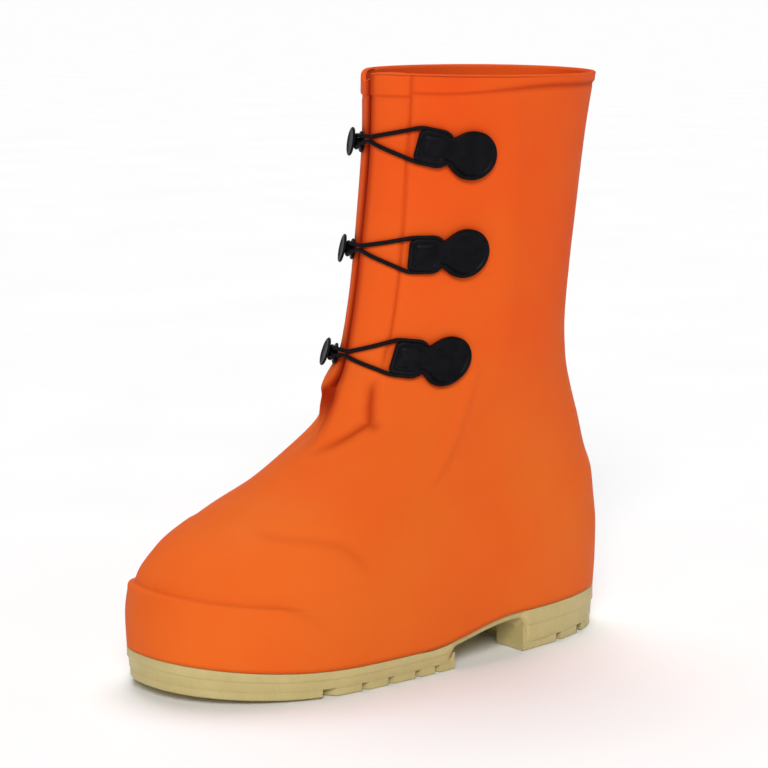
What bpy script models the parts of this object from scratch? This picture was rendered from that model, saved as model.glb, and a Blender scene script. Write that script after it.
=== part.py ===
"""Left work boot of moulded PVC: a hollow orange upper with a folded front pleat, on a tan lugged outsole.

Three elastic loops run from black tabs on the outer side, across the pleat, to black buttons on the inner
side.

Lengths are millimetres. u runs from the back of the heel to the toe, v to the outer side and z up from the
floor. In the finished frame the toe is at -Y, the outer side at +X, and the origin is on the floor under the
middle of the boot.
"""

import math
from collections import namedtuple

import bmesh
import bpy
import numpy as np
from mathutils import Vector
from mathutils.bvhtree import BVHTree

MM = 0.001

# Overall sizes
FOOT_LENGTH = 312.0
BOOT_HEIGHT = 336.0
WALL = 2.4
GAP = 0.3

# Feather edge, where the upper meets the sole, and the floor line of the tread
EDGE_HEIGHT = 15.0
EDGE_SPRING, TREAD_SPRING = 8.2, 6.0
SPRING_START = 0.66
HEEL_LIFT = 10.0
LIFT_TOP, LIFT_FOOT = 0.30, 0.53
LIFT_CLEAR = 0.35

# Inward curve of the forefoot and length of the waist under the instep
FOOT_BEND = 9.0
BEND_START = 0.45
WAIST_STATION, WAIST_LENGTH = 0.40, 0.15

# Sections of the wall's middle, from the feather edge to the rim. toe, heel and widest are u; lateral and
# medial are half widths; lift is the share of the feather edge's rise that the section follows.
Section = namedtuple(
    "Section", "height toe heel widest lateral medial toe_power heel_power waist_lateral waist_medial lift"
)
SECTIONS = (
    Section(15, 308.8, 3.0, 210, 60.6, 58.2, 2.25, 2.7, 0.05, 0.15, 1.0),
    Section(33, 309.4, 2.0, 210, 61.4, 59.0, 2.25, 2.7, 0.04, 0.13, 1.0),
    Section(52, 306.5, 1.6, 208, 61.0, 58.8, 2.25, 2.7, 0.03, 0.10, 1.0),
    Section(72, 293.0, 1.8, 204, 59.5, 57.5, 2.2, 2.6, 0.03, 0.08, 0.8),
    Section(90, 264.5, 3.0, 194, 55.5, 54.5, 2.1, 2.5, 0.02, 0.05, 0.5),
    Section(106, 233.0, 5.5, 174, 50.0, 49.0, 2.0, 2.4, 0.02, 0.03, 0.2),
    Section(124, 208.0, 10.0, 148, 45.5, 44.8, 2.0, 2.3, 0.0, 0.0, 0.0),
    Section(144, 190.0, 15.5, 124, 41.5, 41.5, 2.0, 2.2, 0.0, 0.0, 0.0),
    Section(166, 178.5, 20.0, 104, 39.3, 39.3, 2.0, 2.1, 0.0, 0.0, 0.0),
    Section(190, 173.0, 22.4, 92, 40.0, 40.0, 2.0, 2.1, 0.0, 0.0, 0.0),
    Section(222, 167.0, 21.2, 86, 41.8, 41.8, 2.0, 2.1, 0.0, 0.0, 0.0),
    Section(262, 162.0, 17.0, 82, 43.5, 43.5, 2.0, 2.1, 0.0, 0.0, 0.0),
    Section(300, 158.8, 11.2, 78, 45.2, 45.2, 2.0, 2.1, 0.0, 0.0, 0.0),
    Section(336, 157.5, 4.6, 74, 46.9, 46.9, 2.0, 2.1, 0.0, 0.0, 0.0),
)

# Steps on the outside of the wall: the rand round the foot, thickest at the toe, and the hem at the rim
RAND_TOP, RAND_LEDGE = 50.0, 1.2
RAND_TOE, RAND_SIDE = 3.2, 0.0
RAND_FADE_FROM, RAND_FADE_TO = 0.52, 0.86
HEM_HEIGHT, HEM_LEDGE, HEM_STEP = 11.0, 1.0, 0.8

# Slope of the rim, up to the inner side and to the front, and the height where it starts
RIM_ROLL, RIM_PITCH, RIM_MIDDLE_U, RIM_FROM = 0.030, 0.012, 90.0, 290.0

# Dip of the rim beside the flap's edge, on the inner side
RIM_DIP, RIM_DIP_FROM, RIM_DIP_ARC, RIM_DIP_REACH = 5.5, 318.0, -10.0, 8.5

# Front pleat: a Z fold that starts at the throat and lies flat further up. Lengths run along the wall.
THROAT = 114.0
PLEAT_FLAT = 172.0
BEND_LENGTH = 5.0
FOLD_RETURN = 15.0
FOLD_LEAST = 1.0
FOLD_OPENS = 0.68
OUTER_RUN, UNDER_RUN, RAMP_RUN = 24.0, 16.0, 9.0
OUTER_COLUMNS, BEND_COLUMNS, FOLD_COLUMNS, UNDER_COLUMNS, RAMP_COLUMNS = 4, 5, 2, 2, 3
FLAP_RISE = 0.38
VAMP_COLUMN = 10.5
VAMP_TOP = 48.0

# Forms at the throat, where the fold opens: bulge of the inner side, hollow below it, ridge of the strip
Form = namedtuple("Form", "size height rise arc reach")
THROAT_FORMS = (
    Form(5.0, 160.0, 12.0, -17.0, 12.0),
    Form(-6.5, 133.0, 9.0, -22.0, 15.0),
    Form(2.2, 138.0, 10.0, 0.0, 8.0),
)

# Grid of the upper
LATERAL_COLUMNS, MEDIAL_COLUMNS = 20, 18
SIDE_GRADING = 1.08
CURVE_POINTS = 721

# Heights of the upper's rows of points
ROWS = (
    EDGE_HEIGHT, 31, RAND_TOP, RAND_TOP + RAND_LEDGE, 62, 73, 83, 92, 102, THROAT, 122, 130, 137, 144, 151,
    158, 165, PLEAT_FLAT, 184, 204, 232, 265, 300, BOOT_HEIGHT - HEM_HEIGHT - HEM_LEDGE,
    BOOT_HEIGHT - HEM_HEIGHT, BOOT_HEIGHT,
)

# Outsole: a slab with a side step, thin at the arch, that carries the tread
SOLE_STATIONS = 46
SOLE_END, SOLE_TIP = 0.35, 2.0
SIDE_STEP = 0.8
STEP_SHARE = 0.5
STEP_SLOPE = 0.8
SIDE_DRAFT = 0.6
LUG_DEPTH = 4.5
HEEL_LUG_DEPTH = 5.0
SHANK_THICK = 7.0
SHANK_FRONT, SHANK_FRONT_RUN = 0.455, 0.02
BREAST, BREAST_RUN = 0.294, 0.025
ARCH_TOP_INSET, ARCH_FOOT_INSET = 1.8, 8.0
LUG_ROOT = 1.8
LUG_INSET = 0.3

# Tread bars across the forefoot, stations as shares of the length. The ends sweep back to the heel, and
# notch is the depth of the middle zigzag.
Bar = namedtuple("Bar", "station sweep notch")
BARS = (
    Bar(0.765, 0.040, 0.0),
    Bar(0.705, 0.040, 0.030),
    Bar(0.638, 0.044, 0.0),
    Bar(0.577, 0.036, 0.026),
    Bar(0.517, 0.036, 0.026),
)
BAR_WIDTH = 5.5
BAR_BEND, BAR_END = 0.39, 0.57
NOTCH_HALF = 0.14

# Tread blocks along the edges. front and rear are where the block meets the outline, the sweeps carry its
# inner corners towards the toe, and reach is its share of the half width.
Block = namedtuple("Block", "side front rear front_sweep rear_sweep reach")
LATERAL, MEDIAL = 1, -1
BLOCKS = (
    Block(MEDIAL, 0.752, 0.690, 0.055, 0.070, 0.34),
    Block(MEDIAL, 0.666, 0.622, 0.048, 0.048, 0.32),
    Block(MEDIAL, 0.602, 0.564, 0.042, 0.044, 0.31),
    Block(MEDIAL, 0.546, 0.506, 0.032, 0.038, 0.29),
    Block(MEDIAL, 0.490, 0.462, 0.030, 0.034, 0.27),
    Block(LATERAL, 0.738, 0.684, 0.048, 0.048, 0.35),
    Block(LATERAL, 0.668, 0.624, 0.044, 0.044, 0.33),
    Block(LATERAL, 0.608, 0.560, 0.040, 0.040, 0.33),
    Block(LATERAL, 0.544, 0.512, 0.036, 0.036, 0.33),
    Block(LATERAL, 0.497, 0.462, 0.032, 0.030, 0.30),
    Block(MEDIAL, 0.286, 0.205, 0.0, 0.030, 0.40),
    Block(MEDIAL, 0.192, 0.163, 0.030, 0.026, 0.40),
    Block(MEDIAL, 0.150, 0.124, 0.026, 0.022, 0.40),
    Block(LATERAL, 0.286, 0.190, 0.0, 0.028, 0.47),
    Block(LATERAL, 0.172, 0.118, 0.028, 0.024, 0.45),
)
BLOCK_POINTS = 4

# Rear edge of the toe plate, from the medial outline to the lateral one: share of length, share of half width
TOE_PLATE_EDGE = (
    (0.770, -1.0), (0.832, -0.62), (0.892, -0.30), (0.862, -0.09), (0.864, 0.02), (0.888, 0.13),
    (0.846, 0.44), (0.800, 0.74), (0.756, 1.0),
)
TOE_PLATE_POINTS = 25

# Plates in the middle of the heel: front, rear, medial and lateral share of the half width
HeelPlate = namedtuple("HeelPlate", "front rear medial lateral")
HEEL_PLATES = (
    HeelPlate(0.254, 0.238, -0.50, 0.44),
    HeelPlate(0.208, 0.180, -0.50, 0.46),
    HeelPlate(0.168, 0.140, -0.50, 0.46),
)
HEEL_RIM_MEDIAL, HEEL_RIM_LATERAL = 0.108, 0.100
HEEL_RIM_CENTRE, HEEL_RIM_SHARE = 0.120, 0.62
HEEL_RIM_POINTS = 15

INSOLE_THICK = 3.5
INSOLE_CLEAR, INSOLE_END, INSOLE_STEP = 1.0, 0.6, 1.0

# Closures, top to bottom: height of the tab's front end and its arc from the front centre, tilt of the tab
# down towards the back, height of the button and its arc to the inner side
Closure = namedtuple("Closure", "name tab_height tab_arc tilt_deg button_height button_arc")
CLOSURES = (
    Closure("top", 297.0, 28.0, 12.5, 296.5, -12.5),
    Closure("middle", 235.0, 28.0, 0.0, 235.5, -12.5),
    Closure("bottom", 178.0, 26.8, 6.5, 176.0, -10.5),
)

# Tab: a rounded grip in front, a neck and a round disc behind
GRIP_LENGTH, GRIP_HALF = 16.0, 8.3
NECK_HALF = 6.8
DISC_LONG, DISC_HALF = 13.7, 13.7
TAB_LENGTH = 46.0
TAB_THICK = 3.6
TAB_STATIONS, TAB_ACROSS = 22, 5
TAB_CORNER, TAB_TIP = 2.2, 0.8
TAB_END_ANGLE = 0.06

# Elastic cord and mushroom button
CORD_RADIUS = 1.2
CORD_SIDES = 8
CORD_CLEAR = 0.35
CORD_GRIP_POINTS, CORD_PLEAT_POINTS, CORD_FREE_POINTS, CORD_TURN_POINTS = 4, 6, 3, 7
PLEAT_EDGE, CORD_LEAVES_PLEAT = 0.0, 14.0
CORD_OVER_PLEAT = 5.4
CORD_ON_NECK = 3.5

# Where the two strands of a cord come together: half their distance, the arc, and the rise above the button
CORD_AT_EDGE, CORD_MEET, CORD_RISE = 1.4, 3.0, 2.6

BUTTON_SIDES = 16
BUTTON_FOOT_RADIUS, BUTTON_NECK_RADIUS, BUTTON_HEAD_RADIUS = 6.0, 2.2, 8.3
BUTTON_FOOT, BUTTON_NECK, BUTTON_HEAD = 1.3, 5.0, 7.2
BUTTON_EDGE = 0.8
SEAT_RAY, SEAT_RINGS = 40.0, 3

SHARP_ANGLE = math.radians(38)


def ease(t):
    """Smooth step from 0 to 1."""
    t = np.clip(t, 0.0, 1.0)
    return t * t * (3 - 2 * t)


def bell(x, middle, reach):
    """1 at the middle, falling off smoothly to both sides."""
    return np.exp(-(((x - middle) / reach) ** 2))


def monotone(knots, values, wanted):
    """Cubic through the values that adds no bulge between two of them."""
    width = np.diff(knots)
    rate = np.diff(values) / width
    slope = np.zeros(len(values))
    slope[0], slope[-1] = rate[0], rate[-1]
    for i in range(1, len(rate)):
        if rate[i - 1] * rate[i] > 0:
            before, after = 2 * width[i] + width[i - 1], width[i] + 2 * width[i - 1]
            slope[i] = (before + after) / (before / rate[i - 1] + after / rate[i])
    i = np.clip(np.searchsorted(knots, wanted) - 1, 0, len(width) - 1)
    t = (wanted - knots[i]) / width[i]
    start = values[i] * (1 + 2 * t) * (1 - t) ** 2 + slope[i] * width[i] * t * (1 - t) ** 2
    return start + values[i + 1] * t * t * (3 - 2 * t) + slope[i + 1] * width[i] * t * t * (t - 1)


SECTION_TABLE = np.array(SECTIONS, float)


def section_at(height):
    columns = SECTION_TABLE.T
    return Section(*(float(monotone(columns[0], column, height)) for column in columns))


def toe_spring(u, rise):
    """Rise of the toe off the floor."""
    run = (1 - SPRING_START) * FOOT_LENGTH
    return rise * np.clip((u - SPRING_START * FOOT_LENGTH) / run, 0, None) ** 2


def edge_rise(u):
    """Rise of the feather edge over its forefoot height."""
    lift_run = (LIFT_FOOT - LIFT_TOP) * FOOT_LENGTH
    return toe_spring(u, EDGE_SPRING) + HEEL_LIFT * ease((LIFT_FOOT * FOOT_LENGTH - u) / lift_run)


def section_curve(height):
    """Arc length from the front centre (outer side positive), u and v of the wall's middle."""
    row = section_at(height)
    angle = np.linspace(-math.pi, math.pi, CURVE_POINTS)
    along, across = np.cos(angle), np.sin(angle)
    power = np.where(along >= 0, row.toe_power, row.heel_power)
    reach = np.where(along >= 0, row.toe - row.widest, row.widest - row.heel)
    half = np.where(across >= 0, row.lateral, row.medial)
    u = row.widest + reach * np.sign(along) * np.abs(along) ** (2 / power)
    v = half * np.sign(across) * np.abs(across) ** (2 / power)
    waist = np.where(across >= 0, row.waist_lateral, row.waist_medial)
    v *= 1 - waist * bell(u / FOOT_LENGTH, WAIST_STATION, WAIST_LENGTH)
    bend = np.clip((u / FOOT_LENGTH - BEND_START) / (1 - BEND_START), 0, 1)
    v -= FOOT_BEND * bend**2
    arc = np.concatenate([[0], np.cumsum(np.hypot(np.diff(u), np.diff(v)))])
    return arc - arc[CURVE_POINTS // 2], u, v


def curve_normals(u, v):
    """Outward plan normals of a closed section curve."""
    du, dv = np.gradient(u), np.gradient(v)
    du[0] = du[-1] = (u[1] - u[-2]) / 2
    dv[0] = dv[-1] = (v[1] - v[-2]) / 2
    size = np.hypot(du, dv)
    return dv / size, -du / size


def pleat_path(height):
    """Arc positions and offsets off the plain wall of the pleat's columns, from outer to inner side."""
    turn = math.pi * float(ease((height - THROAT) / (PLEAT_FLAT - THROAT)))
    opened = float(ease((turn / math.pi - FOLD_OPENS) / (1 - FOLD_OPENS)))
    fold = FOLD_LEAST + (FOLD_RETURN - FOLD_LEAST) * opened
    runs = (
        (OUTER_RUN, OUTER_COLUMNS, 0.0, 0.0),
        (BEND_LENGTH, BEND_COLUMNS, 0.0, 1.0),
        (fold, FOLD_COLUMNS, 1.0, 1.0),
        (BEND_LENGTH, BEND_COLUMNS, 1.0, 0.0),
        (UNDER_RUN, UNDER_COLUMNS, 0.0, 0.0),
        (RAMP_RUN, RAMP_COLUMNS, 0.0, 0.0),
    )
    step = np.concatenate([np.full(count, length / count) for length, count, _, _ in runs])
    heading = np.concatenate([[0.0]] + [np.linspace(a, b, count + 1)[1:] for _, count, a, b in runs]) * turn
    vamp = 1 - float(np.clip((height - VAMP_TOP) / (THROAT - VAMP_TOP), 0, 1))
    step = step * (1 - vamp) + VAMP_COLUMN * vamp
    middle = (heading[1:] + heading[:-1]) / 2
    arc = np.concatenate([[0.0], -np.cumsum(step * np.cos(middle))])
    offset = np.concatenate([[0.0], -np.cumsum(step * np.sin(middle))])
    columns = np.arange(len(arc))
    rise = ease(columns / (OUTER_COLUMNS - 1))
    back = ease((columns - (len(arc) - 1 - RAMP_COLUMNS)) / RAMP_COLUMNS)
    offset -= offset[-1] * (FLAP_RISE * rise + (1 - FLAP_RISE) * back)
    anchor = (BEND_LENGTH / math.pi + fold / 2) * (1 - vamp)
    return arc - arc[OUTER_COLUMNS + BEND_COLUMNS + FOLD_COLUMNS // 2] + anchor, offset


def rim_slope(height, arc, u, v):
    """Rise of the upper rows towards the sloping rim, and their dip beside the flap's edge."""
    share = ease((height - RIM_FROM) / (BOOT_HEIGHT - RIM_FROM))
    dip_share = ease((height - RIM_DIP_FROM) / (BOOT_HEIGHT - RIM_DIP_FROM))
    slope = RIM_PITCH * (u - RIM_MIDDLE_U) - RIM_ROLL * v
    return share * slope - dip_share * RIM_DIP * bell(arc, RIM_DIP_ARC, RIM_DIP_REACH)


def graded(start, end, count):
    """Points after start up to end, closer together near start."""
    return start + (end - start) * (np.arange(1, count + 1) / count) ** SIDE_GRADING


def upper_row(height):
    """u, v and z of one row of points of the wall's middle, once round from the back."""
    arc, u, v = section_curve(height)
    normal_u, normal_v = curve_normals(u, v)
    pleat_arc, pleat_offset = pleat_path(height)
    outer = graded(pleat_arc[0], arc[-1], LATERAL_COLUMNS)[::-1]
    inner = graded(pleat_arc[-1], arc[0], MEDIAL_COLUMNS)[:-1]
    place = np.concatenate([outer, pleat_arc, inner])
    offset = np.concatenate([np.zeros(len(outer)), pleat_offset, np.zeros(len(inner))])
    for form in THROAT_FORMS:
        offset += form.size * bell(height, form.height, form.rise) * bell(place, form.arc, form.reach)
    row_u = np.interp(place, arc, u) + offset * np.interp(place, arc, normal_u)
    row_v = np.interp(place, arc, v) + offset * np.interp(place, arc, normal_v)
    edge_lift = section_at(height).lift * edge_rise(np.interp(place, arc, u))
    row_z = height + edge_lift + rim_slope(height, place, row_u, row_v)
    return np.stack([row_u, row_v, row_z], axis=1)


def outer_step(height, u):
    """How far the rand or the hem stands out from the plain wall."""
    if height >= BOOT_HEIGHT - HEM_HEIGHT:
        return np.full(len(u), HEM_STEP)
    if height > RAND_TOP:
        return np.zeros(len(u))
    fade = ease((u / FOOT_LENGTH - RAND_FADE_FROM) / (RAND_FADE_TO - RAND_FADE_FROM))
    return RAND_SIDE + (RAND_TOE - RAND_SIDE) * fade


def grid_normals(grid):
    """Outward unit normals of rows of points that close round."""
    around = np.roll(grid, -1, axis=1) - np.roll(grid, 1, axis=1)
    up = np.gradient(grid, axis=0)
    normal = np.cross(up, around)
    return normal / np.linalg.norm(normal, axis=2, keepdims=True)


def upper_surfaces():
    """Outer and inner face of the upper as grids of points, rows up and columns round."""
    middle = np.stack([upper_row(height) for height in ROWS])
    normal = grid_normals(middle)
    step = np.stack([outer_step(height, row[:, 0]) for height, row in zip(ROWS, middle)])
    in_fold = LATERAL_COLUMNS + OUTER_COLUMNS + BEND_COLUMNS
    step[ROWS.index(THROAT) :, in_fold : in_fold + FOLD_COLUMNS + BEND_COLUMNS + UNDER_COLUMNS] = 0.0
    outer = middle + normal * (WALL / 2 + step)[:, :, None]
    inner = middle - normal * (WALL / 2)
    for face in (outer, inner):
        face[0, :, 2] = EDGE_HEIGHT + edge_rise(face[0, :, 0])
        face[-1, :, 2] = middle[-1, :, 2]
    return outer, inner


def foot_loop(inset, from_outside):
    """Plan outline at the feather edge, moved in from the wall's outer or inner face: each side's u and v."""
    _, u, v = section_curve(EDGE_HEIGHT)
    normal_u, normal_v = curve_normals(u, v)
    face = WALL / 2 + outer_step(EDGE_HEIGHT, u) if from_outside else -WALL / 2
    u, v = u + normal_u * (face - inset), v + normal_v * (face - inset)
    half = CURVE_POINTS // 2
    return {LATERAL: (u[half:][::-1], v[half:][::-1]), MEDIAL: (u[: half + 1], v[: half + 1])}


def middle_and_half(loop, u):
    """Middle line and half width of an outline at u."""
    lateral, medial = (float(np.interp(u, *loop[side])) for side in (LATERAL, MEDIAL))
    return (lateral + medial) / 2, (lateral - medial) / 2


OUTLINE = foot_loop(0.0, True)
TREAD_OUTLINE = foot_loop(SIDE_STEP + SIDE_DRAFT + LUG_INSET, True)


def tread_point(station, share):
    """u and v of a point at a share of the length and of the half width, outer side positive."""
    u = station * FOOT_LENGTH
    middle, half = middle_and_half(TREAD_OUTLINE, u)
    return u, middle + share * half


def window(u, rear, front, run):
    """1 between two stations, falling to 0 over a run outside them."""
    station = u / FOOT_LENGTH
    return ease((station - rear + run) / run) * ease((front + run - station) / run)


def slab_top(u):
    """Top of the sole's slab, under the feather edge, with a little more room where that edge curves."""
    return EDGE_HEIGHT - GAP + edge_rise(u) - LIFT_CLEAR * window(u, LIFT_TOP, LIFT_FOOT, BREAST_RUN)


def slab_floor(u):
    """Underside of the sole's slab: tread base, shank and heel base."""
    station = u / FOOT_LENGTH
    shank = ease((SHANK_FRONT - station) / SHANK_FRONT_RUN + 1)
    heel = ease((BREAST - station) / BREAST_RUN)
    forefoot = LUG_DEPTH + toe_spring(u, TREAD_SPRING)
    arch = EDGE_HEIGHT + edge_rise(u) - SHANK_THICK
    return forefoot + (arch - forefoot) * shank + (HEEL_LUG_DEPTH - arch) * heel


def closed_mesh(name, points, faces, material):
    """An object from points in millimetres, with its faces turned outwards."""
    mesh = bpy.data.meshes.new(name)
    frame = np.asarray(points, float).reshape(-1, 3) * MM
    mesh.from_pydata(frame.tolist(), [], faces)
    work = bmesh.new()
    work.from_mesh(mesh)
    bmesh.ops.recalc_face_normals(work, faces=work.faces)
    work.to_mesh(mesh)
    work.free()
    mesh.shade_smooth()
    mesh.set_sharp_from_angle(angle=SHARP_ANGLE)
    mesh.materials.append(material)
    thing = bpy.data.objects.new(name, mesh)
    bpy.context.scene.collection.objects.link(thing)
    return thing


def tube_faces(rings, sides, start=0):
    """Quads between rings of points that close round."""
    faces = []
    for i in range(rings - 1):
        for j in range(sides):
            k = (j + 1) % sides
            a, b = start + i * sides, start + (i + 1) * sides
            faces.append((a + j, a + k, b + k, b + j))
    return faces


def loft_faces(rings, sides):
    """A tube with both ends filled."""
    ends = [tuple(range(sides))[::-1], tuple(range((rings - 1) * sides, rings * sides))]
    return tube_faces(rings, sides) + ends


def sheet_faces(rows, columns, start=0):
    """Faces of a closed sheet: a grid of points, a second grid under it and the edge between them."""
    under = start + rows * columns
    faces = []
    for i in range(rows - 1):
        for j in range(columns - 1):
            a = i * columns + j
            quad = (a, a + 1, a + columns + 1, a + columns)
            faces.append(tuple(start + corner for corner in quad))
            faces.append(tuple(under + corner for corner in quad[::-1]))
    rim = [j for j in range(columns)]
    rim += [i * columns + columns - 1 for i in range(1, rows)]
    rim += [(rows - 1) * columns + j for j in range(columns - 2, -1, -1)]
    rim += [i * columns for i in range(rows - 2, 0, -1)]
    for a, b in zip(rim, rim[1:] + rim[:1]):
        faces.append((start + b, start + a, under + a, under + b))
    return faces


def to_frame(points):
    """u, v and z to the boot's own axes."""
    points = np.asarray(points, float)
    return np.stack([points[..., 1] - CENTRE_V, CENTRE_U - points[..., 0], points[..., 2]], axis=-1)


UPPER_OUTER, UPPER_INNER = upper_surfaces()
WALL_TREE = BVHTree.FromPolygons(
    UPPER_OUTER.reshape(-1, 3).tolist(), tube_faces(*UPPER_OUTER.shape[:2])
)
CENTRE_U = float(UPPER_OUTER[..., 0].min() + UPPER_OUTER[..., 0].max()) / 2
CENTRE_V = float(UPPER_OUTER[..., 1].min() + UPPER_OUTER[..., 1].max()) / 2


def make_upper(material):
    rows, columns = UPPER_OUTER.shape[:2]
    points = np.concatenate([to_frame(UPPER_OUTER).reshape(-1, 3), to_frame(UPPER_INNER).reshape(-1, 3)])
    inner = rows * columns
    faces = tube_faces(rows, columns)
    faces += [face[::-1] for face in tube_faces(rows, columns, inner)]
    for row in (0, (rows - 1) * columns):
        for j in range(columns):
            a, b = row + j, row + (j + 1) % columns
            faces.append((a, b, inner + b, inner + a))
    return closed_mesh("upper", points, faces, material)


def sole_section(u):
    """One cross section of the sole's slab, once round."""
    top = slab_top(u)
    foot = slab_floor(u)
    step = foot + (top - foot) * STEP_SHARE
    arch = float(window(u, BREAST, SHANK_FRONT, BREAST_RUN))
    middle, half = middle_and_half(OUTLINE, u)
    high = half - ARCH_TOP_INSET * arch
    low = max(high - SIDE_STEP, SOLE_TIP)
    base = max(low - SIDE_DRAFT - ARCH_FOOT_INSET * arch, SOLE_TIP)
    profile = [(high, top), (high, step + STEP_SLOPE), (low, step), (base, foot)]
    lateral = [(u, middle + side, z) for side, z in profile]
    return lateral + [(u, middle - side, z) for side, z in profile[::-1]]


def even_stations(loop, count, end):
    """u along the foot, closer together at the round ends."""
    first, last = loop[LATERAL][0][0] + end, loop[LATERAL][0][-1] - end
    return (first + last) / 2 - (last - first) / 2 * np.cos(np.linspace(0, math.pi, count))


def tread_solid(rails):
    """Points and faces of a raised tread piece. rails are rows of u, v points across it."""
    rails = np.asarray(rails, float)
    low = np.concatenate([rails, toe_spring(rails[..., :1], TREAD_SPRING)], axis=-1)
    high = np.concatenate([rails, slab_floor(rails[..., :1]) + LUG_ROOT], axis=-1)
    return np.concatenate([high.reshape(-1, 3), low.reshape(-1, 3)]), sheet_faces(*rails.shape[:2])


def bar_rails(bar):
    """A bar across the forefoot, its ends swept back, with a zigzag in the middle where it has a notch."""
    line = [(-BAR_END, bar.sweep), (-BAR_BEND, 0.0)]
    if bar.notch:
        line += [(-NOTCH_HALF, 0.0), (0.0, bar.notch), (NOTCH_HALF, 0.0)]
    line += [(BAR_BEND, 0.0), (BAR_END, bar.sweep)]
    middle = np.array([tread_point(bar.station - back, share) for share, back in line])
    along = np.gradient(middle, axis=0)
    along /= np.linalg.norm(along, axis=1, keepdims=True)
    across = np.stack([along[:, 1], -along[:, 0]], axis=1) * BAR_WIDTH / 2
    return np.stack([middle + across, middle - across])


def block_rails(block):
    """A block from the outline inwards, its inner corners carried towards the toe."""
    rails = []
    for station, sweep in ((block.front, block.front_sweep), (block.rear, block.rear_sweep)):
        shares = 1 - block.reach * np.linspace(0, 1, BLOCK_POINTS)
        stations = station + sweep * np.linspace(0, 1, BLOCK_POINTS)
        rails.append([tread_point(at, block.side * share) for at, share in zip(stations, shares)])
    return rails


def toe_plate_rails():
    """The smooth plate under the toe, from the outline back to its notched rear edge."""
    edge = np.array([tread_point(station, share) for station, share in TOE_PLATE_EDGE])
    knots = np.linspace(0, 1, len(edge))
    spots = np.linspace(0, 1, TOE_PLATE_POINTS)
    inner = np.stack([np.interp(spots, knots, edge[:, i]) for i in (0, 1)], axis=1)
    medial, lateral = TREAD_OUTLINE[MEDIAL], TREAD_OUTLINE[LATERAL]
    keep_m = medial[0] > edge[0, 0]
    keep_l = lateral[0] > edge[-1, 0]
    rim_u = np.concatenate([[edge[0, 0]], medial[0][keep_m], lateral[0][keep_l][::-1], [edge[-1, 0]]])
    rim_v = np.concatenate([[edge[0, 1]], medial[1][keep_m], lateral[1][keep_l][::-1], [edge[-1, 1]]])
    way = np.concatenate([[0], np.cumsum(np.hypot(np.diff(rim_u), np.diff(rim_v)))])
    rim = np.stack([np.interp(spots * way[-1], way, values) for values in (rim_u, rim_v)], axis=1)
    return [rim[1:-1], (rim[1:-1] + inner[1:-1]) / 2, inner[1:-1]]


def heel_rim_rails():
    """The raised rim round the back of the heel."""
    medial, lateral = TREAD_OUTLINE[MEDIAL], TREAD_OUTLINE[LATERAL]
    keep_m = medial[0] < HEEL_RIM_MEDIAL * FOOT_LENGTH
    keep_l = lateral[0] < HEEL_RIM_LATERAL * FOOT_LENGTH
    rim_u = np.concatenate([medial[0][keep_m][::-1], lateral[0][keep_l]])
    rim_v = np.concatenate([medial[1][keep_m][::-1], lateral[1][keep_l]])
    way = np.concatenate([[0], np.cumsum(np.hypot(np.diff(rim_u), np.diff(rim_v)))])
    spots = np.linspace(0, way[-1], HEEL_RIM_POINTS)
    rim = np.stack([np.interp(spots, way, values) for values in (rim_u, rim_v)], axis=1)
    centre = np.array([HEEL_RIM_CENTRE * FOOT_LENGTH, 0.0])
    return [rim, centre + (rim - centre) * HEEL_RIM_SHARE]


def heel_plate_rails(plate):
    return [
        [tread_point(station, plate.medial), tread_point(station, plate.lateral)]
        for station in (plate.front, plate.rear)
    ]


def make_outsole(material):
    sections = [sole_section(float(u)) for u in even_stations(OUTLINE, SOLE_STATIONS, SOLE_END)]
    sides = len(sections[0])
    points = to_frame(sections).reshape(-1, 3)
    sole = closed_mesh("outsole", points, loft_faces(len(sections), sides), material)
    pieces = [bar_rails(bar) for bar in BARS]
    pieces += [block_rails(block) for block in BLOCKS]
    pieces += [heel_plate_rails(plate) for plate in HEEL_PLATES]
    pieces += [toe_plate_rails(), heel_rim_rails()]
    points, faces = [], []
    for rails in pieces:
        start = sum(len(group) for group in points)
        solid, quads = tread_solid(rails)
        points.append(to_frame(solid))
        faces += [tuple(start + corner for corner in quad) for quad in quads]
    tread = closed_mesh("tread_guide", np.concatenate(points), faces, material)
    tread.hide_render = True
    tread.display_type = "WIRE"
    join = sole.modifiers.new("tread", "BOOLEAN")
    join.operation = "UNION"
    join.solver = "EXACT"
    join.object = tread
    return sole


def make_insole(material):
    loop = foot_loop(INSOLE_CLEAR, False)
    ends = even_stations(loop, 2, INSOLE_END)
    first, last = ends[0] + INSOLE_STEP, ends[1] - INSOLE_STEP
    inside = [u for u in even_stations(OUTLINE, SOLE_STATIONS, SOLE_END) if first < u < last]
    rings = []
    for u in [ends[0], *inside, ends[1]]:
        low = slab_top(u) + GAP
        middle, half = middle_and_half(loop, u)
        corners = ((half, 0.0), (half, INSOLE_THICK), (-half, INSOLE_THICK), (-half, 0.0))
        rings.append([(u, middle + side, low + z) for side, z in corners])
    points = to_frame(rings).reshape(-1, 3)
    return closed_mesh("insole", points, loft_faces(len(rings), len(corners)), material)


def shaft_point(height, arc, above):
    """Point at a height and arc, and the plan normal there, above the middle of the plain wall."""
    place, u, v = section_curve(height)
    normal_u, normal_v = curve_normals(u, v)
    normal = np.array([np.interp(arc, place, normal_u), np.interp(arc, place, normal_v), 0.0])
    normal /= np.linalg.norm(normal)
    return np.array([np.interp(arc, place, u), np.interp(arc, place, v), height]) + normal * above, normal


def wall_face(height, arc):
    """Distance of the wall's outer face from the middle of the plain wall."""
    spot, normal = shaft_point(height, arc, SEAT_RAY)
    return SEAT_RAY - WALL_TREE.ray_cast(Vector(spot), Vector(-normal))[3]


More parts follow.
